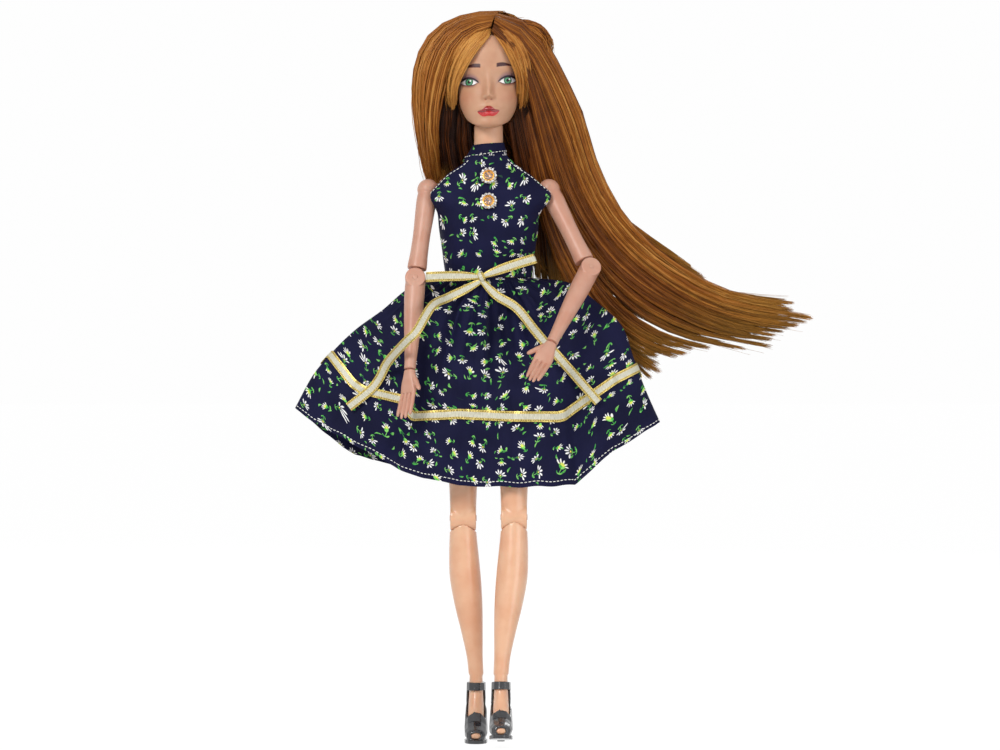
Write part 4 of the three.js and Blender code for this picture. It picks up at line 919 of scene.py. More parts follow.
def arm(label, side):
    hinge = "_arm_spread"
    upper_frame = joint_frame(label, hinge, y=hinge, z="_elbow_turn")
    start = -SHOULDER_CAP / 4
    rows = full_rows(UPPER_ARM_ROWS)
    shaft = limb(label + "_upper_arm_skin", rows, UPPER_ARM + start, ARM_HALF, ARM_DEEP, start)
    upper = fuse(join(shaft, ball(SHOULDER_CAP)), ARM_VOXEL, 3)
    cut(upper, *slot_tool(*SHOULDER_DISC, SHOULDER_CAP + 2, -side))
    mould(upper, upper_frame, arm_finish, "arm_plastic", joints[label + hinge]["child"], label + "_upper_arm")

    fore_frame = joint_frame(label, "_elbow_bend", y="_elbow_bend", z="_hand_turn")
    rows = full_rows(FOREARM_ROWS)
    shaft = limb(label + "_forearm_skin", rows, FOREARM - SEAT, ARM_HALF, ARM_DEEP, -SEAT)
    fore = fuse(join(shaft, drum(ARM_HALF, 2 * BARREL_HALF, edge=0.5)), ARM_VOXEL, 3)
    cut(fore, *slot_tool(*ELBOW_DISC, ARM_HALF + 2, -side))
    mould(fore, fore_frame, arm_finish, "arm_plastic", label + "_forearm", label + "_forearm")

    length = 2 * BARREL_HALF + ELBOW_PIN_PROUD
    pin(label, "_elbow", ELBOW_PIN, length, (0, 0, 0), "Y", fore_frame, arm_finish, "_forearm")
    return fore_frame


# %% [markdown]
# The hand has a palm that widens to the knuckles, four fingers that curl a little more from first to last,
# and a thumb. Nothing on it is painted. The fingers overlap the palm and are melted into it, and a finer
# voxel keeps them apart.

# %% Hands
PALM_ROWS = [(0, 0.6, 1), (0.25, 0.7, 1.05), (0.6, 0.93, 1), (0.85, 1, 0.82), (1, 0.96, 0.66)]
FINGER_ROWS = [
    (0, 1, 1), (0.25, 0.92, 0.95), (0.45, 1.0, 1.0), (0.65, 0.86, 0.88), (0.8, 0.84, 0.86),
    (0.95, 0.62, 0.62), (1, 0.25, 0.25),
]
PALM = 10.0
PALM_HALF = 3.9
PALM_DEEP = 1.75
WRIST_PEG = (1.2, 6.4, (0, 0, 1.2))
FINGER = 11.2
FINGER_RADIUS = 0.92
FINGER_GAP = 0.12
FINGER_SHARES = (0.82, 0.96, 1, 0.92)
FINGER_CURLS = (5, 9, 12, 16)
THUMB = 8.6
THUMB_RADIUS = 1.1
THUMB_FAN = 34
HAND_VOXEL = 0.15
WRIST_TURN = {"right": 42, "left": -8}


def digit(name, length, radius, curl, fan, place):
    obj = limb(name, full_rows(FINGER_ROWS), length, radius, radius, rings=30, columns=16, edge=0.08)
    turn = Matrix.Rotation(fan * DEGREE, 4, "Y") @ Matrix.Rotation(-curl * DEGREE, 4, "X")
    obj.data.transform(Matrix.Translation(place) @ turn)
    return obj


def hand(label, side, fore_frame):
    rows = full_rows(PALM_ROWS)
    name = label + "_hand_skin"
    palm = limb(name, rows, PALM, PALM_HALF, PALM_DEEP, -SEAT, rings=30, columns=32, power=2.6)
    pitch = 2 * FINGER_RADIUS + FINGER_GAP
    knuckles = -PALM + FINGER_RADIUS / 2
    digits = []
    for i, (share, curl) in enumerate(zip(FINGER_SHARES, FINGER_CURLS)):
        place = side * (i - 1.5)
        length = share * FINGER + FINGER_RADIUS
        digits.append(digit("finger", length, FINGER_RADIUS, curl, 2 * place, (place * pitch, 0, knuckles)))
    root = (-side * PALM_HALF / 2, 0, -PALM / 4)
    digits.append(digit("thumb", THUMB, THUMB_RADIUS, FINGER_CURLS[0], side * THUMB_FAN, root))
    piece = fuse(join(palm, drum(*WRIST_PEG, "Z"), *digits), HAND_VOXEL, 2)
    turn = Matrix.Rotation(side * WRIST_TURN[label] * DEGREE, 4, "Z")
    wrist = Matrix.Translation(place_of(label + "_hand_turn")) @ fore_frame.to_3x3().to_4x4() @ turn
    settle(piece, wrist)
    dress(piece, arm_finish, "arm_plastic", label + "_hand", label + "_hand")


for label, side in SIDES.items():
    hand(label, side, arm(label, side))

# %% [markdown]
# A leg is a thigh with a barrel across its knee, and a calf whose top is hollowed to fit round that barrel.
# The calf runs on into an arched foot, moulded on tiptoe for heels.

# %% Legs
THIGH_ROWS = [
    (0, 0.86, 0.84, 0, 0), (0.1, 0.96, 0.98, 0.15, 0), (0.25, 0.94, 0.98, 0.13, 0),
    (0.45, 0.85, 0.9, 0.07, 0), (0.65, 0.74, 0.78, 0, 0), (0.82, 0.66, 0.61, 0, -0.05),
    (0.94, 0.63, 0.51, 0, -0.1), (1, 0.62, 0.5, 0, -0.1),
]
CALF_ROWS = [
    (0, 0.82, 0.74, 0, 0), (0.1, 0.86, 0.8, 0, 0.04), (0.22, 0.94, 0.94, -0.04, 0.14),
    (0.38, 1, 1, -0.14, 0.2), (0.55, 0.9, 0.88, -0.34, 0.12), (0.72, 0.7, 0.68, -0.56, 0.02),
    (0.88, 0.52, 0.53, -0.74, -0.02), (1, 0.48, 0.5, -0.83, 0),
]
FOOT_ROWS = [
    (0, 1, 0, 0.74, 0.66), (-0.02, 0.8, 0.1, 0.78, 0.8), (0, 0.6, 0.28, 0.84, 1),
    (0.22, 0.41, 0.5, 0.92, 0.86), (0.52, 0.225, 0.68, 1, 0.64), (0.78, 0.152, 0.86, 1, 0.46),
    (0.98, 0.122, 1, 0.8, 0.32), (1.08, 0.112, 1, 0.4, 0.18),
]
KNEE = 91.0
HIP = 153.0
THIGH = HIP - KNEE
THIGH_HALF = 8.5
THIGH_DEEP = 8.6
CALF_HALF = 6.4
CALF_DEEP = 6.8
HIP_CAP = 7.3
HIP_DISC = (3.6, 3, 1.7)
HIP_DROP = 0.51
KNEE_BARREL = 5.2
KNEE_HALF = 5.3
KNEE_PIN = 1.2
KNEE_PIN_PROUD = 0.4
TONGUE_RADIUS = 3.6
TONGUE_THICK = 3.2
TONGUE_LOW = 2.6
STALK = 7.5
STALK_DEEP = 4.8
ANKLE = 27.0
ANKLE_IN = 5.3
FOOT_HALF = 3.6
FOOT_DEEP = 5
FOOT_REACH = 15.6
BEND_ROOM = 38
CUP_SIZE = 60
THIGH_VOXEL = 0.42
CALF_VOXEL = 0.36


def foot(side, rings=50, columns=40):
    """The arched foot, in millimetres from the knee."""

    def place(u, v):
        ring = np.round(v * (rings - 1))
        shrink = np.where(np.minimum(ring, rings - 1 - ring) == 0, 0.0, 1.0)
        ahead, up, pitch, wide, deep = row_at(FOOT_ROWS, (ring - 1) / (rings - 3))
        tilt = -pitch * math.pi / 2
        x, y = oval(TURN * u, wide * FOOT_HALF * shrink, deep * FOOT_DEEP * shrink, power=2.2)
        forward = y * np.cos(tilt) - ahead * FOOT_REACH
        return np.stack([x - side * ANKLE_IN, forward, y * np.sin(tilt) + up * ANKLE - KNEE], 1)

    return rolled("foot", columns + 1, rings, place)


def leg(label, side):
    hip_frame = joint_frame(label, "_leg_swing", x="_leg_swing", y="_leg_spread")
    knee_frame = joint_frame(label, "_knee", x="_leg_swing", y="_leg_spread")
    knee = (0, 0, -THIGH)
    start = -HIP_CAP / 4
    shaft = limb(label + "_thigh_skin", THIGH_ROWS, THIGH + start, THIGH_HALF * side, THIGH_DEEP, start)
    barrel = drum(KNEE_BARREL, 2 * KNEE_HALF, knee, "X", 0.5)
    thigh = fuse(join(shaft, ball(HIP_CAP), barrel), THIGH_VOXEL, 3)
    reach = KNEE_BARREL + 2 + TONGUE_LOW
    thick = TONGUE_THICK + 2 * RUNNING
    room = block(thick, reach, reach, (0, reach / 2 - TONGUE_LOW, TONGUE_LOW - reach / 2 - THIGH))
    disc = drum(TONGUE_RADIUS + RUNNING, thick, knee, "X")
    cut(thigh, room, disc, *slot_tool(*HIP_DISC, HIP_CAP + 2, -side, HIP_DROP))
    mould(thigh, hip_frame, leg_finish, "leg_plastic", label + "_thigh", label + "_thigh")

    shaft = limb(label + "_calf_skin", CALF_ROWS, KNEE - ANKLE + SEAT, CALF_HALF * side, CALF_DEEP)
    cup = drum(KNEE_BARREL + SEAT, CUP_SIZE, (0, 0, 0), "X", sides=64)
    back_room = block(CUP_SIZE, CUP_SIZE, CUP_SIZE, (0, CUP_SIZE / 2, CUP_SIZE / 2))
    back_room.data.transform(Matrix.Rotation(-BEND_ROOM * DEGREE, 4, "X"))
    cut(shaft, cup, back_room)
    tongue = drum(TONGUE_RADIUS, TONGUE_THICK, along="X", edge=0.2)
    stalk = block(TONGUE_THICK, STALK_DEEP, STALK, (0, 0, -STALK / 2))
    calf = fuse(join(shaft, foot(side), tongue, stalk), CALF_VOXEL, 2)
    mould(calf, knee_frame, leg_finish, "leg_plastic", label + "_calf", label + "_calf")

    length = 2 * KNEE_HALF + KNEE_PIN_PROUD
    pin(label, "_knee", KNEE_PIN, length, knee, "X", hip_frame, link_finish, "_thigh")


for label, side in SIDES.items():
    leg(label, side)

# %% [markdown]
# The dress is navy cotton with a small print of half-open daisies, tulips and leaves, strewn at random. Each
# cell of a Voronoi texture holds one flower: the cell's random colour picks the kind and turns it, and
# the petals are masks in the flower's own polar coordinates. The print follows the cloth through a UV map
# in millimetres, so it stays on the cloth when the cloth moves.

# %% Cotton print
FLOWER_SPACING = 7.2
LEAF_SPACING = 4.9
FLOWER_SHRINK = 1.22
PRINT_WHITE = colour(252, 252, 252)
PRINT_YELLOW = colour(227, 235, 101)


def from_middle(finish, place, middle):
    node = finish.tree.nodes.new("ShaderNodeVectorMath")
    node.operation = "SUBTRACT"
    feed(finish.tree, node.inputs[0], place)
    feed(finish.tree, node.inputs[1], middle)
    return Flow(finish.tree, node.outputs[0])


def scattered(finish, place, spacing, randomness):
    """The place inside a cell, turned by the cell's own angle, and a random number of the cell."""
    settings = {"voronoi_dimensions": "2D"}
    values = dict(Vector=place, Scale=1 / spacing, Randomness=randomness)
    middle = finish.node("ShaderNodeTexVoronoi", settings, output="Position", **values)
    lots = finish.node("ShaderNodeTexVoronoi", settings, output="Color", **values)
    x, y, _ = finish.split(from_middle(finish, place, middle))
    lot, turn, _ = finish.split(lots)
    angle = turn * TURN
    cosine = angle.math("COSINE")
    sine = angle.math("SINE")
    return x * cosine + y * sine, y * cosine - x * sine, lot


def far_from(x, y):
    return (x * x + y * y).math("SQRT")


def petals(x, y, count, fan, start, reach, width):
    """Petals that fan out round +Y, and how far along them a place is."""
    far = far_from(x, y)
    angle = x.math("ARCTAN2", y)
    step = fan / (count - 1)
    nearest = (angle / step).math("ROUND").least((count - 1) / 2).most(-(count - 1) / 2)
    across = abs(angle - nearest * step) * far
    along = (far - start) / (reach - start)
    swollen = along * (1 - along).most(0.0).math("SQRT") * (2.6 * width)
    return (across + 0.08 - swollen).inside(0, 0.08), along


def flower_print(finish, place):
    """Colour of the printed cotton."""
    navy = finish.mix(finish.noise(place, 0.05, 2).ramp(0.3, 0.7), colour(17, 18, 46), colour(24, 25, 58))
    green = finish.mix(finish.noise(place, 0.5, 1).ramp(0.4, 0.6), colour(77, 183, 77), colour(145, 224, 114))
    x, y, _ = finish.split(place)
    drift = finish.noise(place, 0.07, 1)
    place = finish.join(x + drift * 9.0, y + finish.noise(finish.join(y, x), 0.07, 1) * 9.0)

    x, y, lot = scattered(finish, place, LEAF_SPACING, 0.8)
    half = 0.28 * (1 - (y / 0.95) * (y / 0.95))
    leaf = (abs(x + y * y * 0.3) - half).inside(0, 0.06) * lot.ramp(0.5, 0.52)
    cloth = finish.mix(leaf * 0.8, navy, green)

    x, y, lot = scattered(finish, place, FLOWER_SPACING, 0.5)
    x = x * FLOWER_SHRINK
    y = y * FLOWER_SHRINK - 0.4
    far = far_from(x, y)
    stem = abs(x - (y + 1.4) * (y + 1.4) * 0.06).inside(0.11, 0.05) * y.inside(-0.6, 0.1) * y.ramp(-2.9, -2.8)
    hook = (abs(far_from(x, y + 1.8) - 0.95) - 0.2 - 0.1 * x).inside(0, 0.06) * y.inside(-2.0, 0.12)
    cloth = finish.mix(stem.most(hook) * 0.85, cloth, green)

    daisy, _ = petals(x, y, 5, 2.7, 0.35, 2.55, 0.4)
    halo = (abs(far - 0.8) - 0.12).inside(0, 0.06) * (y - x * 0.5).inside(0.0, 0.1)
    daisy_cloth = finish.mix(halo, cloth, green)
    daisy_cloth = finish.mix(daisy, daisy_cloth, PRINT_WHITE)
    daisy_cloth = finish.mix(far.inside(0.3, 0.07), daisy_cloth, colour(244, 244, 106))

    tulip, along = petals(x, y + 0.5, 5, 2.0, 0.2, 2.6, 0.32)
    tips = finish.mix(along.ramp(0.3, 0.62), PRINT_YELLOW, colour(252, 252, 249))
    cup = (far - 1.02).inside(0, 0.07) * (y + 0.1 - x * x * 0.35).inside(0, 0.08)
    glow = far_from(x, y - 0.2).inside(0.72, 0.1)
    tulip_cloth = finish.mix(tulip, cloth, tips)
    tulip_cloth = finish.mix(glow, tulip_cloth, PRINT_YELLOW)
    tulip_cloth = finish.mix(cup, tulip_cloth, green)
    return finish.mix(lot.ramp(0.5, 0.51), daisy_cloth, tulip_cloth)


THREAD_PITCH = 0.42


def cotton(name):
    finish = Finish(name, Sheen_Weight=0.03, Sheen_Roughness=0.4, Specular_IOR_Level=0.1)
    place = finish.cloth_place("cloth")
    x, y, _ = finish.split(place)
    finish.feed("Base Color", flower_print(finish, place))
    thread = TURN / THREAD_PITCH
    weave = (x * thread).math("SINE") * (y * thread).math("SINE")
    crease = finish.noise(place, 0.16, 4)
    finish.feed("Roughness", crease * 0.15 + 0.58)
    finish.bump(weave * 0.05 + crease, 0.0006, 0.55)
    return finish


cotton_finish = cotton("printed cotton")
thread_finish = Finish("white thread", Base_Color=colour(252, 252, 244), Roughness=0.6)
twist = thread_finish.noise(thread_finish.object_place(), 3.0, 2)
thread_finish.bump(twist, 0.0001, 0.5)

# %% [markdown]
# The bodice is a halter: high at the neck, cut away round the shoulders and open at their backs. Each column
# of its grid runs from the waist up to the halter's edge, so the edge is smooth. Solidify gives the cloth its
# thickness, and a row of white stitches follows the edge.

# %% Bodice
WAIST = 189.6
DRESS_TOP = 239.2
BODICE_ROWS = [
    (0, 0.86, 0.76, 0.74), (0.14, 0.9, 0.8, 0.76), (0.3, 0.955, 0.92, 0.8), (0.44, 1, 1, 0.82),
    (0.58, 1, 0.96, 0.82), (0.72, 0.98, 0.78, 0.78), (0.84, 0.9, 0.64, 0.7), (0.93, 0.66, 0.58, 0.66),
    (1, 0.5, 0.58, 0.64),
]
BODICE_HALF = 20.1
BODICE_DEPTH = 15.2
HALTER_EDGE = [
    (0, 1), (45, 1), (48, 0.955), (52, 0.915), (57, 0.88), (65, 0.835), (70, 0.785), (74, 0.725),
    (79, 0.665), (84, 0.615), (90, 0.58), (97, 0.62), (104, 0.7), (112, 0.78), (122, 0.85), (132, 0.94),
    (137, 1), (180, 1),
]
RISE = DRESS_TOP - WAIST
BODICE_POWER = 2.15
CLOTH = 0.4

bodice_up, bodice_wide, bodice_front, bodice_back = row_at(BODICE_ROWS, np.linspace(0, 1, 400))


def bodice_at(angle, up):
    """A place on the bodice: angle round it, and share of its height."""
    wide = np.interp(up, bodice_up, bodice_wide) * BODICE_HALF
    front = np.interp(up, bodice_up, bodice_front) * BODICE_DEPTH
    back = np.interp(up, bodice_up, bodice_back) * BODICE_DEPTH
    x, y = oval(angle, wide, front, back, BODICE_POWER)
    flare = bell(up, 0.67, 0.11) * clamp(-np.sin(angle) * 4)
    x = x * (1 + np.where(x > 0, 0.3, 0.21) * flare)
    y = y - 4.6 * flare * np.abs(np.cos(angle)) ** 3
    crumple = 0.25 * np.sin(9 * angle + 7 * up) + 0.2 * np.sin(17 * angle - 13 * up + 1)
    pull = 0.35 * np.sin(30 * up + 3 * np.cos(angle)) * clamp(1 - up * 3)
    out = 0.25 * (crumple + pull)
    return x + out * np.cos(angle), y + out * np.sin(angle), WAIST + up * RISE


def halter_edge(angle):
    """Share of the height where the cloth ends, all round."""
    from_front = np.degrees(np.arccos(np.clip(-np.sin(angle), -1, 1)))
    degrees, ups = np.array(HALTER_EDGE).T
    fine = np.linspace(0, 180, 721)
    return np.interp(from_front, fine, averaged(np.interp(fine, degrees, ups), 8))


def bodice_place(u, v):
    angle = TURN * u
    return np.stack(bodice_at(angle, halter_edge(angle) * v), 1)


def bodice_cloth(u, v):
    angle = TURN * u
    x, y, z = bodice_at(angle, halter_edge(angle) * v)
    from_middle = np.abs(x) + 0.5 * (BODICE_DEPTH * 0.8 - np.abs(y)).clip(0)
    return np.where(y > 0, 170.0, 60.0) + np.sign(x) * from_middle, z


def woven(name, columns, rows, place, cloth, thick=CLOTH, offset=1.0, angle=50):
    """A rolled piece of cloth with a thickness in millimetres."""
    obj = place_mm(rolled(name, columns, rows, place, cloth))
    apply(obj, "SOLIDIFY", thickness=thick * MM, offset=offset)
    return smooth_edges(obj, angle)


bodice = woven("bodice_cloth", 251, 64, bodice_place, bodice_cloth)
dress(bodice, cotton_finish, "printed_cotton", "torso", "bodice")


STITCH_SIDES = 6
STITCH_LIFT = 0.4


def stitches(name, path, outward, pitch=1.7, length=1.15, radius=0.16):
    """A row of thread stitches along a path in mm, lifted along the outward directions.

    Each stitch is a short tube with narrow ends, given by its rings: share of its length, and thickness."""
    at = lengths_along(path)
    count = int(at[-1] / pitch)
    centres = (np.arange(count) + 0.5) * pitch
    along = sampled(centres, at, path)
    ahead = unit(sampled(centres + 0.1, at, path) - along)
    out = unit(sampled(centres, at, outward))
    across = np.cross(ahead, out)
    rings = ((-0.5, 0.35), (-0.25, 1.0), (0.25, 1.0), (0.5, 0.35))
    points = []
    for share, thick in rings:
        for turn in range(STITCH_SIDES):
            angle = turn * TURN / STITCH_SIDES
            wide = thick * radius * math.cos(angle)
            high = thick * radius * math.sin(angle) + radius * STITCH_LIFT
            points.append(along + share * length * ahead + wide * across + high * out)
    points = np.stack(points, 1).reshape(-1, 3)
    last = STITCH_SIDES * (len(rings) - 1)
    one = []
    for first in range(0, last, STITCH_SIDES):
        for turn in range(STITCH_SIDES):
            a = first + turn
            b = first + (turn + 1) % STITCH_SIDES
            one.append((a, b, b + STITCH_SIDES, a + STITCH_SIDES))
    one += [tuple(range(STITCH_SIDES))[::-1], tuple(range(last, last + STITCH_SIDES))]
    each = STITCH_SIDES * len(rings)
    faces = [tuple(k * each + i for i in face) for k in range(count) for face in one]
    mesh = bpy.data.meshes.new(name)
    mesh.from_pydata((points * MM + np.array(origin)).tolist(), [], faces)
    obj = placed(name, mesh)
    weld(obj)
    bpy.ops.object.shade_smooth()
    return obj


def bodice_slope(angle, up):
    """How the bodice runs round and upwards at a place, and its outward direction."""
    step = 1e-3
    steps = ((step, 0), (-step, 0), (0, step), (0, -step))
    place = [np.stack(bodice_at(angle + a, up + b), 1) for a, b in steps]
    around = (place[0] - place[1]) / (2 * step)
    upward = (place[2] - place[3]) / (2 * step)
    return around, upward, unit(np.cross(around, upward))


INSET = 0.95
EDGE_STEPS = 900
edge_angle = np.linspace(0, TURN, EDGE_STEPS)
edge_up = halter_edge(edge_angle)
around, upward, edge_out = bodice_slope(edge_angle, edge_up)
ahead = np.gradient(np.stack(bodice_at(edge_angle, edge_up), 1), axis=0)
inward = INSET * unit(np.cross(ahead, edge_out))
sums = [np.sum(a * b, axis=1) for a, b in ((around, around), (around, upward), (upward, upward))]
wanted = [np.sum(a * inward, axis=1) for a in (around, upward)]
share = sums[0] * sums[2] - sums[1] ** 2
turned = (wanted[0] * sums[2] - wanted[1] * sums[1]) / share
risen = (wanted[1] * sums[0] - wanted[0] * sums[1]) / share
edge_path = np.stack(bodice_at(edge_angle + turned, edge_up + risen), 1) + edge_out * CLOTH
open_edge = edge_up < 0.985
rows = []
for half, shift in ((np.cos(edge_angle) > 0, EDGE_STEPS // 2), (np.cos(edge_angle) <= 0, 0)):
    mask, path, out = (np.roll(values, shift, 0) for values in (open_edge & half, edge_path, edge_out))
    rows.append(stitches("halter_stitches", path[mask], out[mask]))
halter_stitches = join(*rows)
dress(halter_stitches, thread_finish, "printed_cotton", "torso")

# %% [markdown]
# The collar is a stand-up band that leans to the doll's right, because it fastens loosely at the back.

# %% Collar
COLLAR_LOW = 238.2
COLLAR_HIGH = 244.6
COLLAR_THICK = 0.8
COLLAR_RADIUS = 7.9
COLLAR_LEAN = 2.9


def collar_place(u, v):
    angle = TURN * u
    lean = clamp(-np.cos(angle))
    radius = COLLAR_RADIUS - 1.5 * v + COLLAR_LEAN * lean * (1 - v) ** 1.2
    radius = radius + 0.12 * np.sin(5 * angle + 4 * v)
    z = COLLAR_LOW + (COLLAR_HIGH - COLLAR_LOW) * v + 0.5 * np.cos(angle) - 0.25
    return np.stack([radius * np.cos(angle), NECK_BACK + radius * np.sin(angle), z], 1)


def collar_cloth(u, v):
    return 46 * u + 11, v * 6.6 + 3


collar = woven("collar_band", 97, 14, collar_place, collar_cloth, COLLAR_THICK, -1.0)
dress(collar, cotton_finish, "printed_cotton", "torso", "collar")
ring = np.linspace(0, TURN, 200)
collar_path = collar_place(ring / TURN, 0.36 + 0.12 * np.cos(ring))
collar_out = np.stack([np.cos(ring), np.sin(ring), 0 * ring], 1)
collar_stitches = stitches("collar_stitches", collar_path + collar_out * 0.05, collar_out)
dress(collar_stitches, thread_finish, "printed_cotton", "torso")

# %% [markdown]
# The skirt is a wide strip gathered into the waist seam. It lies in a flat fan, fuller on the doll's
# right. Its outline on both sides and its hem are drawn through places in the photograph, and its depth
# is guessed. On top come the folds: fine gathers that fade below the waist, deep folds under the knot,
# slow waves towards the hem, and a few sharp folds where one panel lies over the next.

# %% Skirt
PHOTO_MIDDLE = 488.5
PHOTO_FLOOR = 740.0
SKIRT_WAIST_DEEP = 11.9
SKIRT_DROP = 0.3
HEM_LOW = 103.8
SKIRT_FRONT = 19.0
SKIRT_BACK = 20.5
RIGHT_OUTLINE = [
    (441.4, 278.3), (409, 288), (382, 310), (356, 329), (334, 350), (313, 375), (295, 408),
]
LEFT_OUTLINE = [
    (535.6, 278.3), (569, 283), (597, 302.5), (621.7, 326), (633.9, 358.7), (646, 390.7), (660, 422),
]
FRONT_HEM = [
    (295, 408), (313, 421), (344, 438), (369, 451), (402, 469), (423, 477), (459, 484), (510, 486),
    (575, 484), (583, 476), (612, 451), (660, 422),
]
BACK_HEM = [
    (295, 408), (331, 439), (354, 456), (377, 461), (423, 478), (489, 482), (560, 478), (612, 449),
    (660, 422),
]
# Degrees round, width in degrees, depth in mm, the share of the fall where it starts, and its under side.
FOLDS = [
    (243, 6.0, 2.8, 0.5, 1), (299, 22, 4.0, 0.45, -1), (326, 16, 2.4, 0.4, -1), (217, 12, 1.8, 0.45, 1),
    (262, 7, 1.0, 0.12, 1), (277, 7, 1.0, 0.12, -1), (60, 20, 1.8, 0.4, 1), (120, 20, 1.8, 0.4, -1),
]


def photo_x(x):
    return (np.asarray(x, float) - PHOTO_MIDDLE) * PIXEL


def photo_z(y):
    return (PHOTO_FLOOR - np.asarray(y, float)) * PIXEL


def through_photo(places, x):
    """The height at x of a line through places in the photograph."""
    path_x, path_y = np.transpose(places)
    return np.interp(x, photo_x(path_x), photo_z(path_y))


def crease(angle, sharp=0.6):
    """A wave with a sharp valley and a soft crest, from -1 to 1."""
    return 1 - 2 * np.abs(np.sin(angle / 2)) ** sharp


def folded(turn, fall):
    """The sharp folds: where one panel lies over the next, the cloth steps down by the fold's depth."""
    depth = np.zeros_like(turn + fall)
    for middle, width, deep, start, side in FOLDS:
        away = side * (np.degrees(turn) + 1.2 * np.sin(7 * fall) - middle) / width
        step = clamp(-away / 0.16) * clamp(1 + away)
        depth = depth - deep * step * clamp((fall - start) / 0.3)
    return depth


def skirt_folds(turn, fall, x, z):
    """How far the gathers, waves and folds stand out of the plain skirt, and the gathers alone."""
    sway = 0.5 * np.sin(2.3 * fall + 1.2 * np.cos(3 * turn))
    gather = 1.2 * np.exp(-fall / 0.2) * crease(41 * turn + 2 * np.sin(5 * turn)) * clamp(fall / 0.03)
    ripple = 1.7 * bell(fall, 0.3, 0.24) * (crease(19 * turn + sway + 1.4 * np.sin(4 * turn)) - 0.25)
    wave = 1.6 * fall**1.3 * np.cos(11 * turn + 1 + sway)
    small = 0.35 * fall * np.cos(27 * turn + 3 * fall + 2 * np.sin(2 * turn))
    crumple = 0.8 * np.sin(9 * x / 20 + 5 * fall) * np.sin(z / 4.5 + 2 * np.cos(3 * turn))
    front = 0.75 * TURN
    ahead = bell(turn, front, 0.34)
    ripple = ripple * (1 - 0.85 * ahead)
    knot_folds = 3.0 * ahead * bell(fall, 0.26, 0.2) * (crease(36 * (turn - front) + 0.4) + 0.35)
    return gather + ripple + wave + small + crumple * fall + knot_folds + folded(turn, fall), gather


def skirt_at(turn, fall, out=0.0):
    """A place on the skirt: angle round it, share of the way down, and height above the cloth."""
    across = np.cos(turn)
    along = np.sin(turn)
    flat = np.abs(across)
    left = across > 0
    right_x, right_y = row_at(RIGHT_OUTLINE, fall)
    left_x, left_y = row_at(LEFT_OUTLINE, fall)
    side_x = np.where(left, photo_x(left_x), -photo_x(right_x))
    side_z = photo_z(np.where(left, left_y, right_y))
    waist_z = WAIST - SKIRT_DROP
    middle_z = waist_z + (HEM_LOW - waist_z) * (0.9 * fall + 0.1 * fall**2)
    x = across * side_x
    lean = flat**2.2
    z = middle_z + (side_z - middle_z) * lean
    (right_x, right_y), (left_x, left_y) = RIGHT_OUTLINE[-1], LEFT_OUTLINE[-1]
    hem_x = across * np.where(left, photo_x(left_x), -photo_x(right_x))
    plain_hem = HEM_LOW + (photo_z(np.where(left, left_y, right_y)) - HEM_LOW) * lean
    hem = np.where(along < 0, through_photo(FRONT_HEM, hem_x), through_photo(BACK_HEM, hem_x))
    hem = hem + 0.3 * np.sin(23 * turn + 2 * np.sin(5 * turn)) * (1 - flat**6)
    z = z + (hem - plain_hem) * fall**3
    depth = np.where(along < 0, SKIRT_FRONT, SKIRT_BACK)
    deep = np.sign(along) * np.abs(along) ** 1.3
    y = deep * (SKIRT_WAIST_DEEP + (depth - SKIRT_WAIST_DEEP) * (1.2 * fall - 0.2 * fall**2))

    folds, gather = skirt_folds(turn, fall, x, z)
    lift = folds * (1 - flat**4) + out
    y = y + np.sign(along) * lift * np.abs(along) ** 0.5
    x = x + across * (out + 0.5 * gather)
    y = y + np.sign(along) * 0.5 * bell(fall, 0.06, 0.04) * np.abs(along)
    return np.stack([x, y, z])


def skirt_place(u, v):
    return skirt_at(TURN * u, v).T


def skirt_cloth(u, v):
    point = skirt_at(TURN * u, v)
    back = np.where(np.sin(TURN * u) > 0, 1.0, 0.0)
    return point[0] + 200 + 170 * back, 260 - v * 92 - 0.12 * np.abs(point[0]) * v


skirt = woven("skirt_cloth", 421, 80, skirt_place, skirt_cloth, CLOTH, -1.0, 60)
dress(skirt, cotton_finish, "printed_cotton", "torso", "skirt")


def skirt_normal(turn, fall):
    step = 1e-3
    around = skirt_at(turn + step, fall) - skirt_at(turn - step, fall)
    down = skirt_at(turn, fall + step) - skirt_at(turn, fall - step)
    normal = unit(np.cross(around.T, down.T))
    flip = np.sign(normal[:, 1] * np.sin(turn) + normal[:, 0] * np.cos(turn))
    return normal * flip[:, None]


HEM_STITCHES = 0.979
hem_turn = np.linspace(0, TURN, 1600)
hem_fall = np.full_like(hem_turn, HEM_STITCHES)
hem_path = skirt_at(hem_turn, hem_fall).T
hem_stitches = stitches("hem_stitches", hem_path, skirt_normal(hem_turn, hem_fall), radius=0.17)
dress(hem_stitches, thread_finish, "printed_cotton", "torso")

# %% [markdown]
# The ribbon is cream satin with a line of gold thread along each edge. Its UV map runs across in millimetres
# from its middle line and along its length, so one finish serves the trim round the skirt and the whole bow.

# %% Ribbon
RIBBON_HALF = 2.0
RIBBON_THICK = 0.3
BEAD_PITCH = 0.8


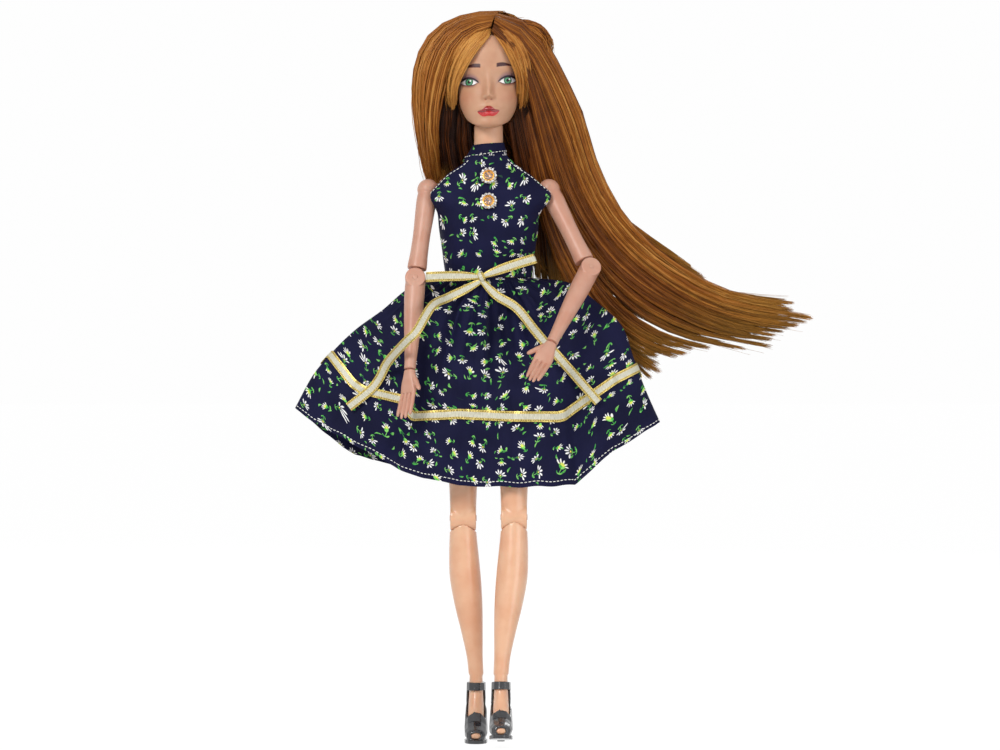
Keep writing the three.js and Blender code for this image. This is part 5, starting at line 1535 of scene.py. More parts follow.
def ribbon_finish_for(name, half):
    finish = Finish(name, Sheen_Weight=0.1, Coat_Roughness=0.3)
    place = finish.cloth_place("cloth")
    across, along, _ = finish.split(place)
    side = abs(across) / half
    grain = finish.noise(finish.join(across * 0.6, along * 4.0), 0.9, 3)
    satin = finish.mix(grain.ramp(0.3, 0.75), colour(185, 182, 161), colour(224, 221, 202))
    beads = (along * (TURN / BEAD_PITCH)).math("SINE").ramp(-0.2, 0.5)
    glitter = finish.noise(place, 2.6, 1)
    gold = finish.mix(glitter.ramp(0.35, 0.65), colour(145, 119, 48), colour(235, 211, 119))
    stitch = abs(side - 0.72).inside(0.07, 0.03) * beads
    gold = finish.mix(stitch * 0.8, gold, colour(58, 44, 16))
    edge = side.ramp(0.5, 0.56)
    finish.feed("Base Color", finish.mix(edge, satin, gold))
    finish.feed("Metallic", edge * 0.45)
    finish.feed("Roughness", 0.36 - 0.06 * edge + grain * 0.1)
    finish.bump(edge * (1 - stitch) * 0.5 + grain * 0.15, 0.0002, 0.6)
    return finish


ribbon_finish = ribbon_finish_for("gold edged ribbon", RIBBON_HALF)
TRIM_PATH = [
    (322, 350), (332, 355), (354, 383), (364, 390), (403, 399), (409, 410), (414, 416), (459, 413.5),
    (510, 416), (557, 416.5), (563, 415), (614, 379), (640, 366),
]
BACK_TRIM = 0.74
TRIM_SPAN = 2 * RIBBON_HALF / (WAIST - HEM_LOW)
TRIM_CLEAR = 0.35
TRIM_TRIES = 40


def trim_fall(turn):
    """Share of the fall at which the ribbon lies, so that it follows its line in the photograph."""
    fall = np.full_like(turn, BACK_TRIM)
    for _ in range(TRIM_TRIES):
        x, _, z = skirt_at(turn, fall)
        fall = fall + 0.4 * (z - through_photo(TRIM_PATH, x)) / (WAIST - HEM_LOW)
    return np.where(np.sin(turn) < 0, fall, BACK_TRIM)


trim_turns = np.linspace(0, TURN, 1441)
trim_falls = averaged(trim_fall(trim_turns), 4, "wrap")


def trim_place(u, v):
    turn = TURN * u
    fall = np.interp(turn, trim_turns, trim_falls)
    return skirt_at(turn, fall + (v - 0.5) * TRIM_SPAN, TRIM_CLEAR + 0.12 * np.sin(math.pi * v)).T


def trim_cloth(u, v):
    return (v - 0.5) * 2 * RIBBON_HALF, u * 300


trim = woven("skirt_ribbon_band", 481, 8, trim_place, trim_cloth, RIBBON_THICK)
dress(trim, ribbon_finish, "gold_ribbon", "torso", "skirt_ribbon")

# %% [markdown]
# The bow is tied at the waist from the same ribbon: a knot, two flat loops that leave it to the sides,
# and two long tails that hang over the skirt. The doll's right tail passes over the forearm, so it stands
# off the skirt there. Each stretch is a strip along a smooth path, with the width across it and a slight
# crown.

# %% Bow
BOW_X = -2.8
KNOT_FRONT = -(0.76 * BODICE_DEPTH + 2.2)
WAIST_FRONT = -11.9
TAIL_HALF = 1.85
TAIL_FRONT = -12.5
TAIL_CLEAR = 0.9
TAIL_SIGHT = 2.6
skirt_turns, skirt_falls = np.meshgrid(np.linspace(math.pi, TURN, 240), np.linspace(0, 1, 120))
skirt_front = skirt_at(skirt_turns.ravel(), skirt_falls.ravel())


def front_of_skirt(x, z):
    """The foremost place of the skirt near x, z."""
    near = (np.abs(skirt_front[0] - x) < TAIL_SIGHT) & (np.abs(skirt_front[2] - z) < TAIL_SIGHT)
    return min(skirt_front[1][near].min(), WAIST_FRONT) if near.any() else WAIST_FRONT


def strip(name, path, across, half=RIBBON_HALF, crown=0.15, steps=8):
    """A ribbon along a path, with its width along the across vectors, pinched where the knot holds it."""
    across = unit(np.asarray(across, float))
    normal = unit(np.cross(across, np.gradient(path, axis=0)))
    normal *= np.sign(normal[:, 1:2] + 1e-9)
    length = lengths_along(path)
    share = np.linspace(0, 1, len(path))
    from_knot = np.hypot(path[:, 0] - BOW_X, path[:, 2] - WAIST)
    pinch = np.interp(from_knot, (0, 1.5, 4, 8, 12), (0.45, 0.5, 0.72, 0.94, 1.0))

    def place(u, v):
        w = 2 * u - 1
        narrow = np.interp(v, share, pinch)
        reach = half * w * narrow
        lift = crown * (1 - w**2) * (2.2 - 1.2 * narrow)
        spots = sampled(v, share, path) + reach[:, None] * sampled(v, share, across)
        return spots - lift[:, None] * sampled(v, share, normal)

    def cloth(u, v):
        return (2 * u - 1) * RIBBON_HALF, np.interp(v, share, length)

    obj = rolled(name, steps, len(path), place, cloth, outward=False)
    apply(obj, "SOLIDIFY", thickness=RIBBON_THICK, offset=0.0)
    weld(obj, gap=None)
    return smooth_edges(place_mm(obj), 50)


RIGHT_TAIL = [
    (0.0, 0.03, 0.0), (0.13, 0.1, 0), (0.25, 0.16, 0.15), (0.37, 0.23, 0.6), (0.48, 0.42, 1),
    (0.56, 0.5, 0.9), (0.7, 0.65, 0.25), (0.77, 0.78, 0), (0.84, 0.87, 0), (1, 1, 0),
]
LEFT_TAIL = [
    (0.0, 0.03, 0.0), (0.13, 0.15, 0), (0.3, 0.25, 0), (0.45, 0.42, 0), (0.54, 0.52, 0), (0.66, 0.64, 0),
    (1, 1, 0),
]


def tail(name, rows, aside, drop, proud, node):
    """A tail over the skirt. Its rows hold shares of its way aside, of its drop and of its height over it."""
    out, down, stand = row_at(rows, np.linspace(0, 1, 90))
    x = BOW_X + out * aside
    z = WAIST - down * drop
    front = averaged(np.array([front_of_skirt(a, b) for a, b in zip(x, z)]), 4)
    y = np.minimum(front, TAIL_FRONT) - TAIL_CLEAR - stand * proud
    path = np.stack([x, y, z], 1)
    ahead = np.gradient(path, axis=0)
    across = np.stack([-ahead[:, 2], 0 * x, ahead[:, 0]], 1)
    dress(strip(name, path, across, TAIL_HALF), ribbon_finish, "gold_ribbon", "torso", node)


tail("bow_tail_right_strip", RIGHT_TAIL, -54, 53, 19, "bow_tail_right")
tail("bow_tail_left_strip", LEFT_TAIL, 47.5, 51, 0, "bow_tail_left")


LOOP_THICK = 1.35
LOOP_DROOP = 0.06


def loop(name, length, rise, node):
    """A flat loop: out along one layer, round the end and back along the other."""
    steps = 60
    share = np.linspace(0, 1, steps)
    out = length * np.sin(math.pi * share) ** 0.75
    thick = LOOP_THICK * np.sin(TURN * share) * np.sin(math.pi * share) ** 0.4
    droop = LOOP_DROOP * out**2 / length
    x = out * math.cos(rise)
    z = out * math.sin(rise) - droop
    path = np.stack([BOW_X + x, KNOT_FRONT - 0.2 + thick, WAIST + z], 1)
    across = np.tile([-math.sin(rise), 0, math.cos(rise)], (steps, 1))
    dress(strip(name, path, across), ribbon_finish, "gold_ribbon", "torso", node)


loop("bow_loop_left_strip", 23.5, 22 * DEGREE, "bow_loop_left")
loop("bow_loop_right_strip", 22.5, 177 * DEGREE, "bow_loop_right")


KNOT_TURN = dict(major_segments=56, minor_segments=20, major_radius=1.25, minor_radius=1.3)
KNOT_SHAPE = (1.05, 0.62, 0.85, 1)
KNOT_LEAN = 24
KNOT_ROUND = 9


def knot():
    """The knot is a short turn of the ribbon, wrapped round the middle of the bow."""
    obj = fresh(bpy.ops.mesh.primitive_torus_add, **KNOT_TURN)
    obj.name = "bow_knot_wrap"
    for change in (
        Matrix.Rotation(90 * DEGREE, 4, "Y"),
        Matrix.Diagonal(KNOT_SHAPE),
        Matrix.Rotation(-KNOT_LEAN * DEGREE, 4, "Y"),
        Matrix.Translation((BOW_X, KNOT_FRONT, WAIST)),
    ):
        obj.data.transform(change)
    layer = obj.data.uv_layers.active
    layer.name = "cloth"
    for corner in layer.data:
        corner.uv = (math.sin(TURN * corner.uv[1]) * RIBBON_HALF, corner.uv[0] * KNOT_ROUND)
    bpy.ops.object.shade_smooth()
    return place_mm(obj)


dress(knot(), ribbon_finish, "gold_ribbon", "torso", "bow_knot")

# %% [markdown]
# Each button is a gilt cup with a claw ring, a big amber stone in the middle and thirteen small clear stones
# round it. A cut stone shines by its flat facets, so the stones keep flat shading.

# %% Buttons
gilt = mottled(
    "gilt", 1.6, 3, None, (0.2, 0.15), (0.00005, 0.4), Metallic=1.0, Base_Color=colour(233, 180, 92)
)
stone_look = dict(Specular_IOR_Level=1.0, Coat_Weight=1.0, Coat_Roughness=0.02)
clear_tones = (0.35, 0.62, colour(132, 123, 114), colour(252, 252, 252))
clear_stone = mottled("clear stone", 1.9, 0, clear_tones, (0.1, 0.02), IOR=1.9, **stone_look)
amber_tones = (0.4, 0.6, colour(81, 37, 9), colour(227, 152, 57))
amber = mottled("amber stone", 1.5, 0, amber_tones, (0.1, 0.03), IOR=1.8, **stone_look)

BUTTON = 3.65
BUTTON_HEIGHTS = {"upper": 230.6, "lower": 220.2}
STONES = 13
CUP_PROFILE = [
    (0, 0), (2.7, 0), (3.0, 0.2), (3.05, 0.5), (2.9, 0.7), (2.8, 0.6), (2.3, 0.6), (2.2, 0.95), (2.05, 1.0),
    (1.95, 0.7), (0, 0.7),
]
CUP_RADIUS = 3.35
STONES_RING = 2.72
STONES_UP = 1.0
STONES_LEAN = 0.25
# Radius, height, the flat share of the radius, and the number of sides.
SMALL_STONE = (0.76, 0.8, 0.5, 7)
BIG_STONE = (2.0, 1.1, 0.42, 9)
BIG_STONE_UP = 1.2


def gem(radius, high, table, sides):
    """A cut stone: a flat table and a sloping crown, with its edges cut off."""
    add = bpy.ops.mesh.primitive_cone_add
    obj = fresh(add, vertices=sides, radius1=radius, radius2=radius * table, depth=high)
    return apply(obj, "BEVEL", width=radius * 0.16, segments=1, limit_method="ANGLE")


def button_piece(label, z):
    around = np.full(3, 1.5 * math.pi - 0.02)
    low, middle, high = bodice_at(around, (z - WAIST + np.array([-3.0, 0.0, 3.0])) / RISE)[1]
    turn = Matrix.Rotation(90 * DEGREE + math.atan2(low - high, 6.0), 4, "X")
    front = spot(0, min(low, middle, high) - CLOTH, z)
    seat = Matrix.Translation(front) @ turn @ Matrix.Scale(BUTTON / CUP_RADIUS, 4)

    cup = settle(lathe(label + "_button_cup", CUP_PROFILE, 64), seat)
    dress(cup, gilt, "jewelled_metal", "torso", label + "_button")
    stones = []
    for i in range(STONES):
        stone = gem(*SMALL_STONE)
        turn = Matrix.Rotation(TURN * i / STONES, 4, "Z")
        out = Matrix.Translation((STONES_RING, 0, STONES_UP))
        stone.data.transform(turn @ out @ Matrix.Rotation(STONES_LEAN, 4, "Y"))
        stones.append(stone)
    ring = settle(join(*stones), seat)
    ring.name = label + "_button_crystals"
    dress(ring, clear_stone, "jewelled_metal", "torso")
    big = gem(*BIG_STONE)
    big.data.transform(Matrix.Translation((0, 0, BIG_STONE_UP)))
    big.name = label + "_button_gem"
    dress(settle(big, seat), amber, "amber_stone", "torso", label + "_button_stone")


for label, z in BUTTON_HEIGHTS.items():
    button_piece(label, z)

# %% [markdown]
# The shoes are one glossy black moulding each, with straps and a low heel.

# %% Shoes
SHOE_VOXEL = 0.24
shoe_finish = mottled(
    "shoe plastic",
    0.9,
    3,
    (0.3, 0.7, colour(14, 14, 18), colour(30, 31, 38)),
    (0.12, 0.16),
    (0.0002, 0.4),
    Coat_Weight=0.6,
    Coat_Roughness=0.08,
    Specular_IOR_Level=0.6,
)
for label in SIDES:
    shoe = melted(label + "_shoe", SHOE_VOXEL, 2)
    dress(shoe, shoe_finish, "shoe_plastic", label + "_calf", label + "_shoe")

# %% [markdown]
# The closure down the back of the dress keeps its two solid tapes, with a napped finish.

# %% Closure tapes
tape_tones = (0.3, 0.7, colour(20, 22, 44), colour(44, 46, 79))
tape_finish = mottled("closure tape", 2.5, 4, tape_tones, (0.1, 0.85), (0.0003, 0.8), Sheen_Weight=0.3)
for node in ("closure_loop_tape", "closure_hook_tape"):
    coat(frame["nodes"][node], tape_finish)

# %% [markdown]
# The hair is rooted fibre, parted in the middle. A short curtain falls to the doll's right shoulder, a fringe
# frames the face on both sides, and the long hair is swept to the doll's left and down behind the skirt. Each
# part is a sheet between a few guide curves. The curves hold places in the photograph, with a guessed depth.
# Thousands of fine strands run between them, drawn together into locks towards their ends, over a core
# painted dark as shade.

# %% Hair guides
CURTAIN = [
    [(499, 11, 1), (470, 13, 1), (440, 25, 1), (421, 46, 0), (412.5, 76, 0), (412, 105, 1),
     (416, 138, 3), (421, 162, 5), (428, 184, 7)],
    [(497, 15, -3), (468, 18, -4), (443, 32, -4), (427, 56, -5), (420, 86, -4), (420, 115, -3),
     (423, 145, 0), (427, 168, 3), (432, 186, 6)],
    [(494, 20, -7), (468, 25, -8), (447, 40, -7), (435, 64, -7), (429, 94, -6), (427, 122, -4),
     (429, 150, -1), (432, 172, 2), (435, 187, 6)],
    [(492, 25, -9), (469, 32, -10), (452, 49, -9), (442, 74, -8), (436, 101, -6), (433, 128, -3),
     (434, 152, 0), (437, 174, 3), (438, 187, 6)],
    [(491, 29, -10.5), (472, 38, -11), (457, 55, -9), (447, 80, -7), (440, 104, -4), (436, 128, -1),
     (437, 154, 2), (440, 176, 5), (441, 187, 7)],
]
FRINGE_RIGHT = [
    [(490, 25), (492, 36), (484, 44), (475, 55), (467, 65), (460.5, 77), (457, 90), (457, 109)],
    [(489, 24), (487, 35), (477, 45), (468, 57), (460.5, 70), (455.5, 82), (453, 95), (454, 111)],
    [(487, 23), (480, 33), (469, 44), (460, 57), (454, 71), (450.5, 84), (450, 97), (453, 112)],
    [(485, 22), (474, 31), (462, 42), (454, 56), (449.5, 71), (447.5, 85), (448, 98), (452.5, 112)],
]
FRINGE_LEFT = [
    [(491, 25), (493, 36), (500, 44), (506, 54), (511, 64), (515.5, 74), (518.5, 88), (517.5, 108)],
    [(493, 24), (497, 34), (506, 43), (513, 54), (518, 66), (521.5, 78), (523, 91), (520, 109)],
    [(495, 23), (502, 31), (513, 41), (520, 53), (524.5, 65), (526.5, 78), (526.5, 92), (522, 109)],
    [(497, 22), (507, 28), (519, 39), (526, 53), (529, 66), (530, 79), (529, 92), (523, 108)],
]
SWEEP_OUTER = [
    [(497, 14, -2), (520, 18, -2), (547, 40, 0), (562, 70, 2), (584, 115, 5), (591, 145, 7),
     (603, 175, 9), (619, 205, 10), (643, 235, 12), (684, 265, 13), (722, 288, 12), (768, 298, 10),
     (813, 301, 9)],
    [(495, 20, -7), (518, 30, -7), (540, 55, -3), (556, 85, 0), (574, 125, 4), (583, 155, 6),
     (597, 190, 8), (620, 225, 10), (650, 255, 12), (692, 283, 13), (735, 301, 12), (780, 309, 10),
     (818, 316, 9)],
    [(494, 26, -9), (514, 40, -9.5), (533, 68, -5), (545, 98, -2), (560, 135, 3), (572, 170, 5),
     (590, 210, 8), (615, 245, 10), (650, 275, 12), (695, 303, 13), (738, 318, 12), (780, 325, 10),
     (812, 328, 9)],
]
SWEEP_MIDDLE = [
    [(494, 26, -8.5), (514, 40, -9), (533, 68, -4), (545, 98, -1), (560, 135, 4), (572, 170, 6),
     (590, 210, 9), (615, 245, 11), (650, 275, 12), (695, 303, 13), (738, 320, 12), (776, 327, 10),
     (806, 330, 9)],
    [(493, 30, -10.5), (511, 46, -10.5), (529, 75, -6), (538, 105, -2), (550, 145, 3),
     (563, 185, 6), (583, 225, 9), (610, 262, 12), (645, 293, 13), (690, 318, 13), (730, 333, 12),
     (762, 338, 10), (788, 342, 9)],
    [(492, 34, -11.5), (509, 52, -10.5), (526, 82, -6), (533, 112, -2), (542, 150, 3),
     (555, 192, 7), (575, 238, 11), (602, 280, 13), (635, 312, 13), (672, 332, 13), (702, 341, 12),
     (728, 345, 10), (748, 351, 9)],
]
SWEEP_INNER = [
    [(530, 108, 1), (545, 155, 4), (560, 198, 8), (580, 242, 12), (604, 285, 13), (634, 316, 13),
     (668, 335, 13), (700, 344, 12), (722, 348, 11)],
    [(527, 115, 3), (537, 158, 6), (548, 204, 10), (566, 252, 13), (592, 297, 13), (620, 329, 13),
     (645, 346, 13), (664, 354, 12), (682, 358, 11)],
    [(524, 120, 5), (530, 160, 8), (539, 210, 12), (556, 262, 14), (580, 305, 14), (604, 335, 14),
     (624, 354, 14), (640, 368, 13), (654, 382, 12)],
]
DARK_LEFT = [
    [(506, 92, 2), (509, 120, 4), (513, 150, 8), (520, 185, 12), (525, 225, 13), (534, 290, 14)],
    [(518, 88, 2), (523, 120, 4), (530, 150, 7), (538, 190, 12), (543, 238, 14), (550, 306, 15)],
    [(527, 82, 1), (536, 112, 3), (546, 148, 6), (556, 190, 10), (567, 243, 13), (584, 312, 14)],
    [(533, 76, 0), (543, 106, 2), (554, 142, 6), (568, 188, 9), (592, 240, 13), (622, 292, 14)],
]
DARK_RIGHT = [
    [(441, 88, -1), (436, 115, 1), (434, 140, 3), (437, 165, 7), (442, 188, 10)],
    [(450, 86, 1), (447, 115, 3), (446, 140, 5), (450, 168, 9), (457, 195, 12)],
    [(460, 90, 4), (458, 118, 6), (458, 145, 9), (465, 172, 12), (476, 202, 14)],
    [(470, 96, 6), (470, 122, 8), (473, 148, 11), (482, 178, 14), (496, 212, 15)],
]
BACK = [
    [(470, 14, 6), (450, 26, 10), (441, 60, 15), (440, 100, 17), (452, 140, 17), (478, 185, 16),
     (515, 235, 15), (560, 285, 15), (600, 315, 15)],
    [(480, 11, 7), (470, 24, 13), (464, 60, 18.5), (466, 100, 19), (480, 145, 18.5),
     (508, 195, 17.5), (548, 245, 17), (600, 293, 16), (650, 325, 15)],
    [(492, 10, 8), (490, 23, 14), (490, 60, 19.5), (494, 100, 20), (510, 145, 19), (540, 195, 18),
     (580, 240, 17), (635, 283, 16), (690, 316, 15)],
    [(504, 11, 7), (510, 24, 13), (516, 60, 18), (524, 100, 18.5), (542, 145, 18), (570, 192, 17.5),
     (608, 232, 17), (662, 268, 16), (720, 300, 15)],
    [(514, 14, 6), (532, 30, 9), (545, 62, 13), (557, 100, 14), (570, 140, 14), (590, 180, 14.5),
     (622, 215, 15), (668, 248, 14.5), (712, 278, 13)],
]
SIDE_LEFT = [
    [(506, 13, 0), (530, 30, 1), (546, 60, 3), (556, 95, 5), (572, 135, 7), (590, 180, 10),
     (615, 222, 12), (652, 262, 13), (700, 295, 13)],
    [(503, 12, 4), (529, 34, 7), (544, 62, 9), (554, 98, 10), (569, 138, 11), (588, 183, 12),
     (614, 226, 13), (652, 268, 14), (700, 301, 14)],
    [(500, 12, 7), (524, 36, 12), (538, 66, 14), (549, 102, 15), (564, 142, 15), (585, 188, 15),
     (612, 232, 15), (652, 274, 15), (700, 306, 15)],
]
SIDE_RIGHT = [
    [(470, 14, 1), (446, 27, 2), (427, 50, 4), (419, 85, 5), (421, 120, 6), (429, 150, 8),
     (438, 182, 11)],
    [(473, 13, 4), (449, 29, 7), (431, 55, 9), (425, 90, 11), (428, 125, 11), (438, 158, 12),
     (452, 190, 14)],
    [(477, 13, 7), (455, 29, 11), (438, 58, 14), (433, 95, 16), (438, 130, 16), (452, 166, 16),
     (474, 200, 16)],
]
LOOP = [
    [(514, 22, -2), (527, 20, -1), (540, 27, 0), (548, 41, 1), (551, 58, 2)],
    [(513, 28, -4), (527, 28, -4), (538, 35, -3), (545, 47, -2), (548, 62, 0)],
]
CROWN = [
    [(472, 19, 3), (484, 14, 4), (498, 16, 6)],
    [(486, 19, 2), (499, 11.5, 3), (511, 17, 5)],
    [(498, 20, 2), (511, 15, 3), (525, 24, 4)],
]

head_shares = np.linspace(0, 1, 300)
head_heights, head_middles, head_widths, head_depths = head_section(head_shares)
HAIR_ROOM = 6.0
HAIR_LIFT = 0.9
HAIR_POWER = 2.4
TUCK = 8.0
ARM_CLEAR = 13.5
ARM_TOP = 252


def front_of_hair(x, z):
    """How far forward hair lies on the front of the head, which its fullness widens."""
    half = np.interp(z, head_heights, head_widths) + HAIR_ROOM
    deep = np.interp(z, head_heights, head_depths)
    across = np.clip(np.abs(x) / half, 0, 0.995)
    round_head = deep * (1 - across**HAIR_POWER) ** (1 / HAIR_POWER)
    return np.interp(z, head_heights, head_middles) - round_head - HAIR_LIFT


def guide(rows, steps):
    """A smooth curve through photo places, as places in mm at equal steps of its length.

    A row without a depth lies on the front of the head. Beside the trunk the curve stays behind the arms."""
    rows = np.asarray(rows, float)
    x = photo_x(rows[:, 0])
    z = photo_z(rows[:, 1])
    late = clamp((np.linspace(0, 1, len(rows)) - 0.66) / 0.34)
    y = rows[:, 2] if rows.shape[1] > 2 else front_of_hair(x, z) + TUCK * late**1.5
    aside = np.maximum(clamp((x - 18) / 16), clamp((-x - 8) / 12))
    behind_arm = aside * clamp((ARM_TOP - z) / 18)
    y = y + (np.maximum(y, ARM_CLEAR) - y) * behind_arm
    curve = row_at(np.stack([x, y, z], 1), np.linspace(0, 1, 300)).T
    at = lengths_along(curve)
    return sampled(np.linspace(0, at[-1], steps), at, curve)


def between(guides, across):
    """Places at the shares across a sheet, one share for each strand and step."""
    return np.stack([row_at(guides[:, j], across[:, j]).T for j in range(guides.shape[1])], 1)


def wander(count, steps, amount, waves):
    """Slow random drift for each curve, from nothing at the root to the amount at the tip."""
    along = np.linspace(0, 1, steps)[None, :, None]
    phase = seeded.uniform(0, TURN, (count, 1, 3))
    pace = seeded.uniform(0.5, 1.0, (count, 1, 3)) * waves * math.pi
    return amount * along * (np.sin(phase + pace * along) - np.sin(phase)) * 0.5


# %% [markdown]
# Each strand is a fine three-sided tube. Two attributes colour it: its tone, which holds painted light and
# shade besides the hair's own colour, and how far along it a place is. Root ends hide in the parting, and the
# tips are cut at slightly different lengths.

# %% Hair strands
FIBRE = 0.18
ASLANT = (0.12, 0.97, 0.2)


def tubes(name, curves, tone, gold):
    """One mesh of tubes along curves of shape (strand, step, 3)."""
    count, steps, _ = curves.shape
    ahead = unit(np.gradient(curves, axis=1))
    side = unit(np.cross(ahead, ASLANT))
    over = np.cross(side, ahead)
    along = np.linspace(0, 1, steps)
    taper = FIBRE * (1 - 0.75 * along**5)
    turn = seeded.uniform(0, TURN, (count, 1, 1)) + np.arange(3) * TURN / 3
    width = taper[None, :, None]
    rims = curves[:, :, None] + (width * np.cos(turn))[..., None] * side[:, :, None]
    rims = rims + (width * np.sin(turn))[..., None] * over[:, :, None]
    points = rims.reshape(-1, 3) * MM + np.array(origin)

    rows = (np.arange(count)[:, None, None] * steps + np.arange(steps - 1)[None, :, None]) * 3
    first = rows + np.arange(3)
    second = rows + (np.arange(3) + 1) % 3
    faces = np.stack([first, second, second + 3, first + 3], -1).reshape(-1, 4)
    mesh = bpy.data.meshes.new(name)
    mesh.vertices.add(len(points))
    mesh.vertices.foreach_set("co", points.ravel())
    mesh.loops.add(faces.size)
    mesh.loops.foreach_set("vertex_index", faces.ravel().astype(np.int32))
    mesh.polygons.add(len(faces))
    mesh.polygons.foreach_set("loop_start", (np.arange(len(faces)) * 4).astype(np.int32))
    mesh.update(calc_edges=True)
    mesh.shade_smooth()
    values = {
        "tone": np.repeat(tone, steps * 3),
        "along": np.tile(np.repeat(along * gold, 3), count),
    }
    for key, value in values.items():
        mesh.attributes.new(key, "FLOAT", "POINT").data.foreach_set("value", value.astype(np.float32))
    return placed(name, mesh)


def fibre_colour(finish, tone, along):
    """Brown from dark to light with the tone, and golden towards the tip."""
    shade = finish.mix(tone.ramp(0.0, 0.34), colour(38, 15, 6), colour(106, 55, 17))
    shade = finish.mix(tone.ramp(0.3, 0.68), shade, colour(170, 103, 38))
    shade = finish.mix(tone.ramp(0.62, 1.0), shade, colour(214, 154, 78))
    return finish.mix(along.ramp(0.72, 1.0) * 0.4, shade, colour(190, 144, 60))


fibre_finish = Finish("hair fibre", Specular_IOR_Level=0.22)
fibre_tone_light_and_shade = fibre_finish.attribute("tone")
fibre_along = fibre_finish.attribute("along")
fibre_patch = fibre_finish.noise(fibre_finish.object_place(), 0.12, 2)
# The tone is darker towards the root: painted shade near the scalp.
fibre_shown = fibre_tone_light_and_shade + (fibre_patch - 0.5) * 0.3 - fibre_along.ramp(0.3, 0.0) * 0.17
fibre_finish.feed("Base Color", fibre_colour(fibre_finish, fibre_shown, fibre_along))
fibre_finish.feed("Roughness", fibre_patch * 0.2 + 0.28)
fibre_finish.bump(fibre_finish.noise(fibre_finish.object_place(), 2.0, 2), 0.00005, 0.3)

# The cores under the sheets and the cap are painted dark brown, as the shade inside the hair; the streaks in
# it differ at random.
shaded_core_finish = Finish("hair core", Specular_IOR_Level=0.08)
core_across, core_along, _ = shaded_core_finish.split(shaded_core_finish.cloth_place("cloth"))
core_streak = shaded_core_finish.noise(shaded_core_finish.join(core_across * 3.0, core_along * 0.04), 1.0, 4)
core_shade_tones = (colour(28, 12, 5), colour(78, 42, 14))
shaded_core_finish.feed("Base Color", shaded_core_finish.mix(core_streak.ramp(0.3, 0.7), *core_shade_tones))
shaded_core_finish.feed("Roughness", core_streak * 0.2 + 0.5)
shaded_core_finish.bump(core_streak, 0.0004, 0.9)

LOCK_ROUND = 0.55
LOCK_PULL = 0.55
FLYAWAYS = 0.035
OUTER_SHARE = 0.68
CORE_LENGTH = 0.86


def step_at(share, steps):
    """The step below a share of the length, and the way from it to the next."""
    at = clamp(share) * (steps - 1)
    low = np.minimum(np.floor(at).astype(int), steps - 2)
    return low, (at - low)[..., None]


def sheet_of_hair(name, rows, count, thick, tone, locks, steps, loose=0.7, core=True, ragged=0.09, gold=1.0):
    """Strands between guide curves. Thick holds half depths from the root to the tip.

    Each lock is round: strands at its middle stand out and are painted lighter, as lit, and those at its rim
    lie deeper and are painted darker, as shade. Strands behind the sheet are painted darker, as shade."""
    guides = np.stack([guide(row, steps) for row in rows])
    along = np.linspace(0, 1, steps)
    depth = np.interp(along, np.linspace(0, 1, len(thick)), thick)

    lock_across = (np.arange(locks) + seeded.uniform(0.15, 0.85, locks)) / locks
    lock_deep = seeded.uniform(-0.9, 0.9, locks)
    lock_tone = seeded.normal(0, 0.07, locks)
    lock_drift = wander(locks, steps, 1.6 * loose, 2.5)
    lock_length = 1 - seeded.uniform(0, ragged, locks)

    across = seeded.uniform(0, 1, count)
    mine = np.argmin(np.abs(across[:, None] - lock_across + seeded.normal(0, 0.5 / locks, (count, locks))), 1)
    side = np.where(seeded.uniform(0, 1, count) < OUTER_SHARE, -1.0, 1.0)
    deep = side * np.sqrt(seeded.uniform(0.25, 1, count))
    drawn = LOCK_PULL * along**1.3
    shares = across[:, None] + (lock_across[mine] - across)[:, None] * drawn
    levels = deep[:, None] + (lock_deep[mine] * 0.7 - deep)[:, None] * drawn * 0.4
    edge = np.sqrt(clamp(1 - 0.85 * (2 * shares - 1) ** 2))
    curves = between(guides, clamp(shares))
    rim = clamp(np.abs(across - lock_across[mine]) * locks / 0.62) ** 2
    rounded = LOCK_ROUND * np.sign(deep) * (0.6 - rim)
    rise = clamp(along / 0.12) * clamp(depth / 2)
    curves[:, :, 1] += levels * edge * depth + rounded[:, None] * rise
    curves += lock_drift[mine] + wander(count, steps, loose, 4)
    stray = seeded.uniform(0, 1, count) < FLYAWAYS
    curves[stray] += wander(int(stray.sum()), steps, 3.2, 3) * along[None, :, None]

    length = lock_length[mine] - seeded.uniform(0, ragged, count) ** 1.5
    low, part = step_at(length[:, None] * along, steps)
    row = np.arange(count)[:, None]
    curves = curves[row, low] * (1 - part) + curves[row, low + 1] * part

    # Besides random tone, this is painted light and shade: strands behind and at a lock's rim darker, as
    # shade, and at its middle lighter, as lit.
    shade = tone + lock_tone[mine] + seeded.normal(0, 0.11, count) - 0.1 * (deep > 0) + 0.09 * (0.45 - rim)
    strands = tubes(name, curves, shade, gold)
    if not core:
        return [strands]

    def core_place(u, v):
        angle = TURN * u
        low, part = step_at(v * CORE_LENGTH, steps)
        share = 0.5 + 0.46 * np.cos(angle)
        here = np.empty((len(u), 3))
        for j in np.unique(low):
            mask = low == j
            start, end = (row_at(guides[:, k], share[mask]).T for k in (j, j + 1))
            here[mask] = start * (1 - part[mask]) + end * part[mask]
        half = np.interp(v * CORE_LENGTH, along, depth) * 0.72 * np.clip((1 - v) / 0.12, 0.05, 1)
        here[:, 1] += half * np.sin(angle)
        return here

    return [strands, place_mm(rolled(name + "_core", 33, 41, core_place, lambda u, v: (120 * u, 100 * v)))]


def wear(pieces, hang, *nodes):
    """Strands and their core, carried by the head, or left unattached where they are, where the hair hangs
    below it.
    """
    for obj, finish, replaced in zip(pieces, (fibre_finish, shaded_core_finish), (nodes, ())):
        coat(obj, finish)
        if hang:
            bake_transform(obj)
        else:
            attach(obj, "head")
        if replaced:
            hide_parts(*replaced)
        print(obj.name, len(obj.data.polygons), "faces")


FRINGE = dict(steps=11, loose=0.5, core=False, ragged=0.14, gold=0.6)
FRINGE_DEPTHS = (0.5, 1.0, 1.2, 0.8)
LOOSE = dict(core=False, loose=1.2)
SWEEP_DEPTHS = (3, 5, 4, 4, 3.5, 3)
